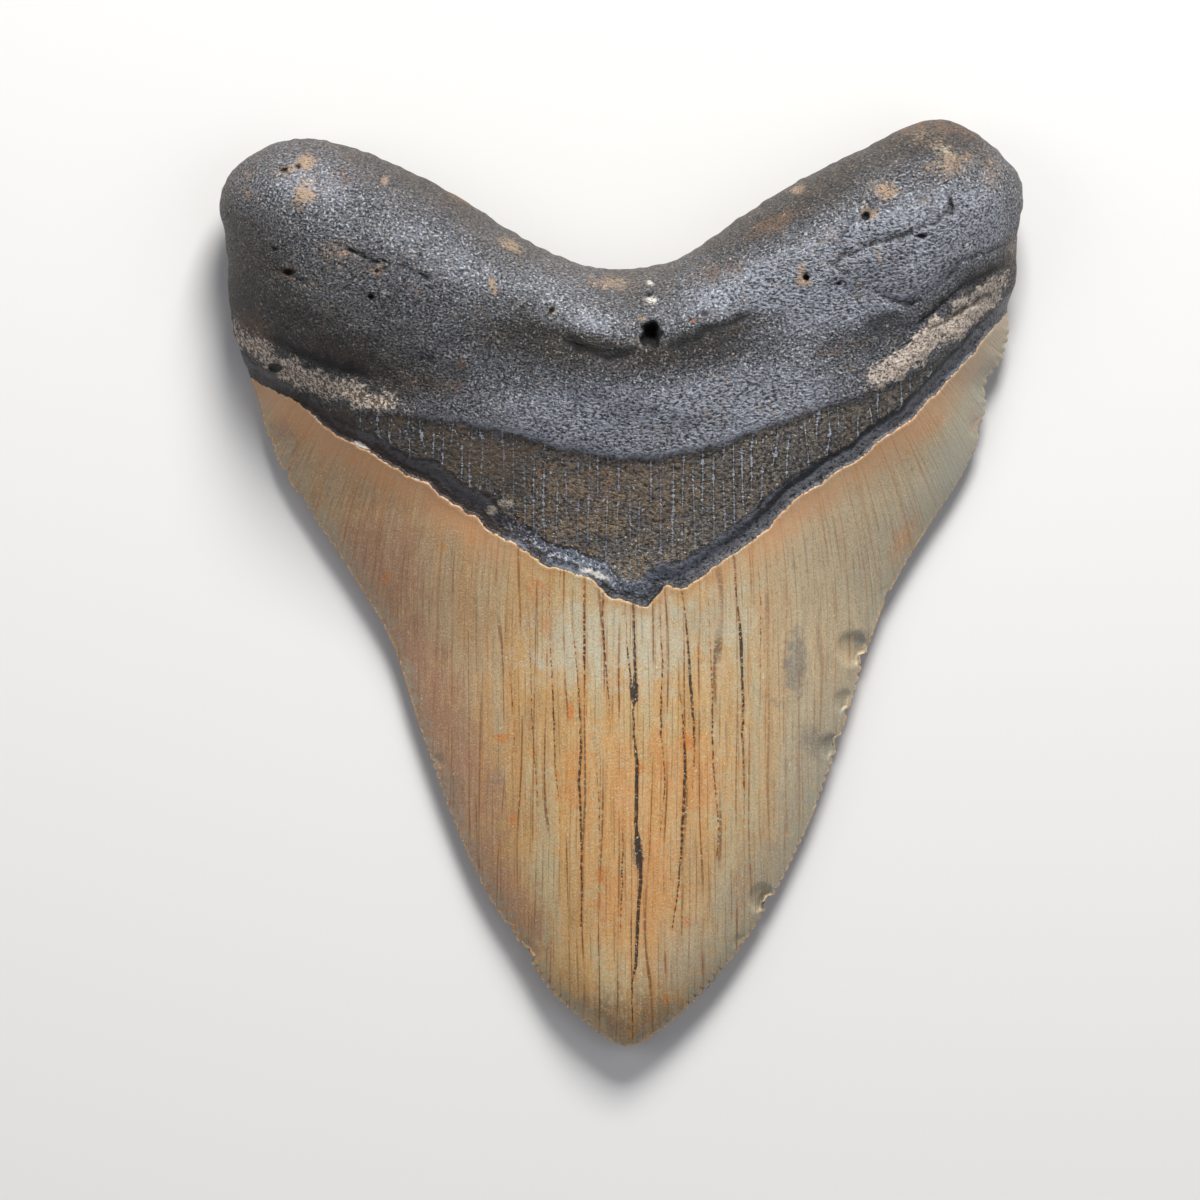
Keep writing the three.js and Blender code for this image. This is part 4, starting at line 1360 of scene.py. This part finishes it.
def enamel_look():
    """Tan enamel in fine upright streaks, with long brown lines and black cracks."""
    fine = grain(scaled(Bench.along_flow, 2.6, 0.14, 1), 1.0, 3, 0.65)
    wide = grain(scaled(Bench.along_flow, 0.42, 0.018, 0.5), 1.0, 2, 0.55)
    grit = grain(Bench.place, 4.6, 2, 0.7)
    warm = plus(times(wide, 0.6), times(Bench.broad, 0.4))
    rusty = plus(times(Bench.crumble, 0.35), times(wide, 0.3), times(Bench.swells, 0.35))
    lower_down = plus(0.25, times(mask(height=(-2.0, -16.0)), 0.75))
    orange = times(soft(0.46, 0.60, rusty), mask(off_middle=(30.0, 8.0)), lower_down)
    at_sides = mask(off_middle=(10, 26))

    off, pattern = rows_of_lines(Bench.flow, 1.3, 1.8, 0.09, 13.0)
    hair = times(soft(0.12, 0.03, off), soft(0.44, 0.62, pattern), mask(crumble=(0.36, 0.5)))
    off, pattern = rows_of_lines(Bench.flow, 0.46, 1.5, 0.06, 21.0)
    shown = times(soft(0.40, 0.56, pattern), blend_number(at_sides, 1.0, 0.35))
    glow = times(soft(0.6, 0.05, off), shown, mask(crumble=(0.44, 0.58)))
    stripe = times(soft(0.15, 0.04, off), shown, mask(crumble=(0.34, 0.48)))
    line, seam, power = cracks_of_blade()

    shoulder = soft(8.0, 20.0, size_of(Bench.sideways))
    fuzzy = times(soft(-4.6, -0.6, plus(Bench.enamel, times(fine, 1.2))), shoulder)
    lip = soft(0.46, 0.56, plus(times(Bench.coarse, 0.4), times(Bench.specks, 0.6)))
    enamel = lay_over(blend(soft(0.40, 0.56, warm), (188, 170, 130), (196, 158, 104)), [
        # Regions: darker patches, a browner left side and a greyer right one, and stains.
        ((162, 134, 92), 0.45, mask(broad=(0.48, 0.66))),
        ((168, 128, 100), 0.5, mask(flow=(-7.0, -24.0))),
        ((178, 166, 142), 0.68, mask(flow=(8.0, 26.0))),
        (Bench.stain, 0.82, Bench.stained),
        ((206, 148, 74), 0.42, orange),
        # Fine streaks and grit, light and dark.
        ((224, 202, 158), 0.26, soft(0.5, 0.72, fine)),
        ((122, 96, 60), 0.3, soft(0.48, 0.3, fine)),
        ((232, 208, 164), 0.34, soft(0.53, 0.66, grit)),
        ((116, 88, 54), 0.34, soft(0.47, 0.36, grit)),
        # Hairlines, brown lines with their glow, and the cracks with seams and pale grit.
        ((96, 72, 46), blend_number(at_sides, 0.55, 0.4), hair),
        ((196, 124, 52), 0.6, glow),
        ((86, 58, 34), 0.75, stripe),
        ((186, 120, 54), 0.62, seam),
        (blend(soft(0.4, 0.9, power), (84, 56, 36), (38, 33, 30)), 0.92, line),
        ((220, 212, 198), 0.8, times(line, mask(specks=(0.66, 0.72)))),
        ((234, 220, 194), 0.45, mask(specks=(0.70, 0.76))),
        # The cutting edges: glassy, burnt at the very edge, with pale beads.
        ((160, 160, 142), 0.6, mask(inside=(2.6, 0.4), coarse=(0.42, 0.6))),
        ((214, 164, 112), 0.8, mask(inside=(0.42, 0.05), coarse=(0.4, 0.55))),
        ((240, 218, 172), 0.8, mask(inside=(0.4, 0.1), specks=(0.55, 0.62))),
        # Below the border: orange on the shoulders, grey at the upper right, and a pale lip.
        ((190, 138, 88), 0.4, mask(enamel=(-2.6, -0.3), broad=(0.35, 0.6))),
        ((204, 154, 110), 0.55, fuzzy),
        ((168, 166, 150), 0.6, mask(inside=(7.0, 1.5), height=(4.0, 14.0), flow=(0.0, 20.0))),
        ((212, 200, 184), 0.5, times(mask(enamel=(-0.3, -0.1)), lip)),
    ])
    cuts = plus(times(line, 1.4), times(stripe, 0.5))
    relief = minus(plus(times(fine, 0.5), times(grit, 0.4)), cuts)
    satin = blend_number(mask(crumble=(0.4, 0.6)), 0.44, 0.56)
    return enamel, blend_number(line, satin, 0.75), relief


# %% [markdown]
# ### Three materials on one piece
# Working out all four looks everywhere would be slow, so only the faces near the borders get
# the material that mixes them. Far from the borders its mix is one look alone, so the change
# from one material to the next can't be seen.

# %% Three materials
relief_height = 0.12 * MM


def finish_material(material, look):
    shader = Bench.tree.nodes["Principled BSDF"]
    colour, roughness, relief = look
    plug(shader.inputs["Base Color"], colour)
    plug(shader.inputs["Roughness"], roughness)
    bump = add("ShaderNodeBump", {"Distance": relief_height, "Height": relief})
    plug(shader.inputs["Normal"], bump)
    tooth.data.materials.append(material)
    print(material.name, "nodes:", len(Bench.tree.nodes))


def mixed_look():
    """All four looks, blended across the borders."""
    narrower = mask(off_middle=(22.0, 40.0))
    groove_end = minus(plus(1.6, times(Bench.broad, 2.6)), narrower)
    past_groove = minus(Bench.enamel, groove_end)
    in_band = soft(-0.1, 0.2, past_groove)
    in_root = mask(root=(-0.25, 0.25))
    in_enamel = mask(enamel=(0.06, -0.06))
    looks = zip(groove_look(), band_look(), root_look(), enamel_look())
    mixed = []
    for mixer, (groove, band, root, enamel) in zip([blend, blend_number, blend_number], looks):
        mixed.append(mixer(in_enamel, mixer(in_root, mixer(in_band, groove, band), root), enamel))
    end_line = times(soft(0.32, 0.08, size_of(past_groove)), mask(coarse=(0.40, 0.52), root=(0.3, -0.3)))
    mixed[0] = lay_over(mixed[0], [((18, 16, 16), 0.85, end_line)])
    return mixed


tooth.data.materials.clear()
finish_material(start_material("fossil_band"), mixed_look())
finish_material(start_material("fossil_root"), root_look())
finish_material(start_material("fossil_enamel"), enamel_look())

# %% Each zone gets its material
root_from = 1.2
enamel_from = -0.6
loop_count = [p.loop_total for p in tooth.data.polygons]
first_loop = np.concatenate([[0], np.cumsum(loop_count)[:-1]])
loop_corner = read_all(tooth.data.loops, "vertex_index", np.int32)
lowest_root = np.minimum.reduceat(kept_values(tooth, "from_root")[loop_corner], first_loop)
highest_enamel = np.maximum.reduceat(kept_values(tooth, "from_enamel")[loop_corner], first_loop)
zone = np.where(lowest_root > root_from, 1, np.where(highest_enamel < enamel_from, 2, 0))
tooth.data.polygons.foreach_set("material_index", zone.astype(np.int32))
print("faces in band, root, enamel:", [int((zone == i).sum()) for i in range(3)])

# %% [markdown]
# ## A flat map of both sides
# A picture of the colours needs a place for every face. Both faces of the tooth are nearly
# flat, so each is laid out as seen from straight above it. The side that is seen most gets the
# larger part of the picture.

# %% A flat map of both sides
front_scale = 0.0062
back_scale = 0.0031
map_margin = 0.01
back_corner = (0.67, map_margin)
loop_is_up = np.repeat([p.normal.z >= 0 for p in tooth.data.polygons], loop_count)
flat = read_points(tooth)[loop_corner, :2] + [tooth_width / 2 + 1, tooth_height / 2 + 1]
front = map_margin + flat * front_scale
back = back_corner + flat * back_scale
flat_map = tooth.data.uv_layers.new(name="OFBake")
map_points = np.where(loop_is_up[:, None], front, back).astype(np.float32)
flat_map.data.foreach_set("uv", map_points.ravel())
print("map reaches:", np.round(np.maximum(front.max(axis=0), back.max(axis=0)), 2))

# %% [markdown]
# ## Floor and light
# The tooth lies on a pale matt floor. The main light comes from beyond the root and a little
# from the right, low enough to draw the grain and the creases. Two weak ones fill the sides.

# %% Floor and light
bpy.ops.mesh.primitive_plane_add(size=3)
floor = bpy.context.object
floor.name = "floor"
floor_paint = bpy.data.materials.new("pale_floor")
floor_paint.use_nodes = True
floor_shader = floor_paint.node_tree.nodes["Principled BSDF"]
floor_shader.inputs["Base Color"].default_value = (0.72, 0.71, 0.69, 1)
floor_shader.inputs["Roughness"].default_value = 0.9
floor.data.materials.append(floor_paint)

bpy.context.scene.view_settings.view_transform = "Standard"
world = bpy.data.worlds.new("studio")
bpy.context.scene.world = world
world.use_nodes = True
world.node_tree.nodes["Background"].inputs["Color"].default_value = (0.8, 0.85, 1.0, 1)
world.node_tree.nodes["Background"].inputs["Strength"].default_value = 0.22

# Each light: its name, place and size in metres, its power in watts and its colour.
lights = [
    ("key", (0.09, 0.6, 0.46), 0.26, 8.4, (1, 0.99, 0.97)),
    ("fill", (0.4, 0.0, 0.6), 0.5, 0.8, (0.95, 0.97, 1)),
    ("left", (-0.5, 0.1, 0.55), 0.4, 0.8, (1, 0.97, 0.95)),
]
aim = Vector((0, 0, 10 * MM))
for name, place, size, power, colour in lights:
    bpy.ops.object.light_add(type="AREA", location=place)
    light = bpy.context.object
    light.name = name
    light.data.size = size
    light.data.energy = power
    light.data.color = colour
    light.rotation_euler = (aim - Vector(place)).to_track_quat("-Z", "Y").to_euler()
print("lights:", [name for name, *_ in lights])
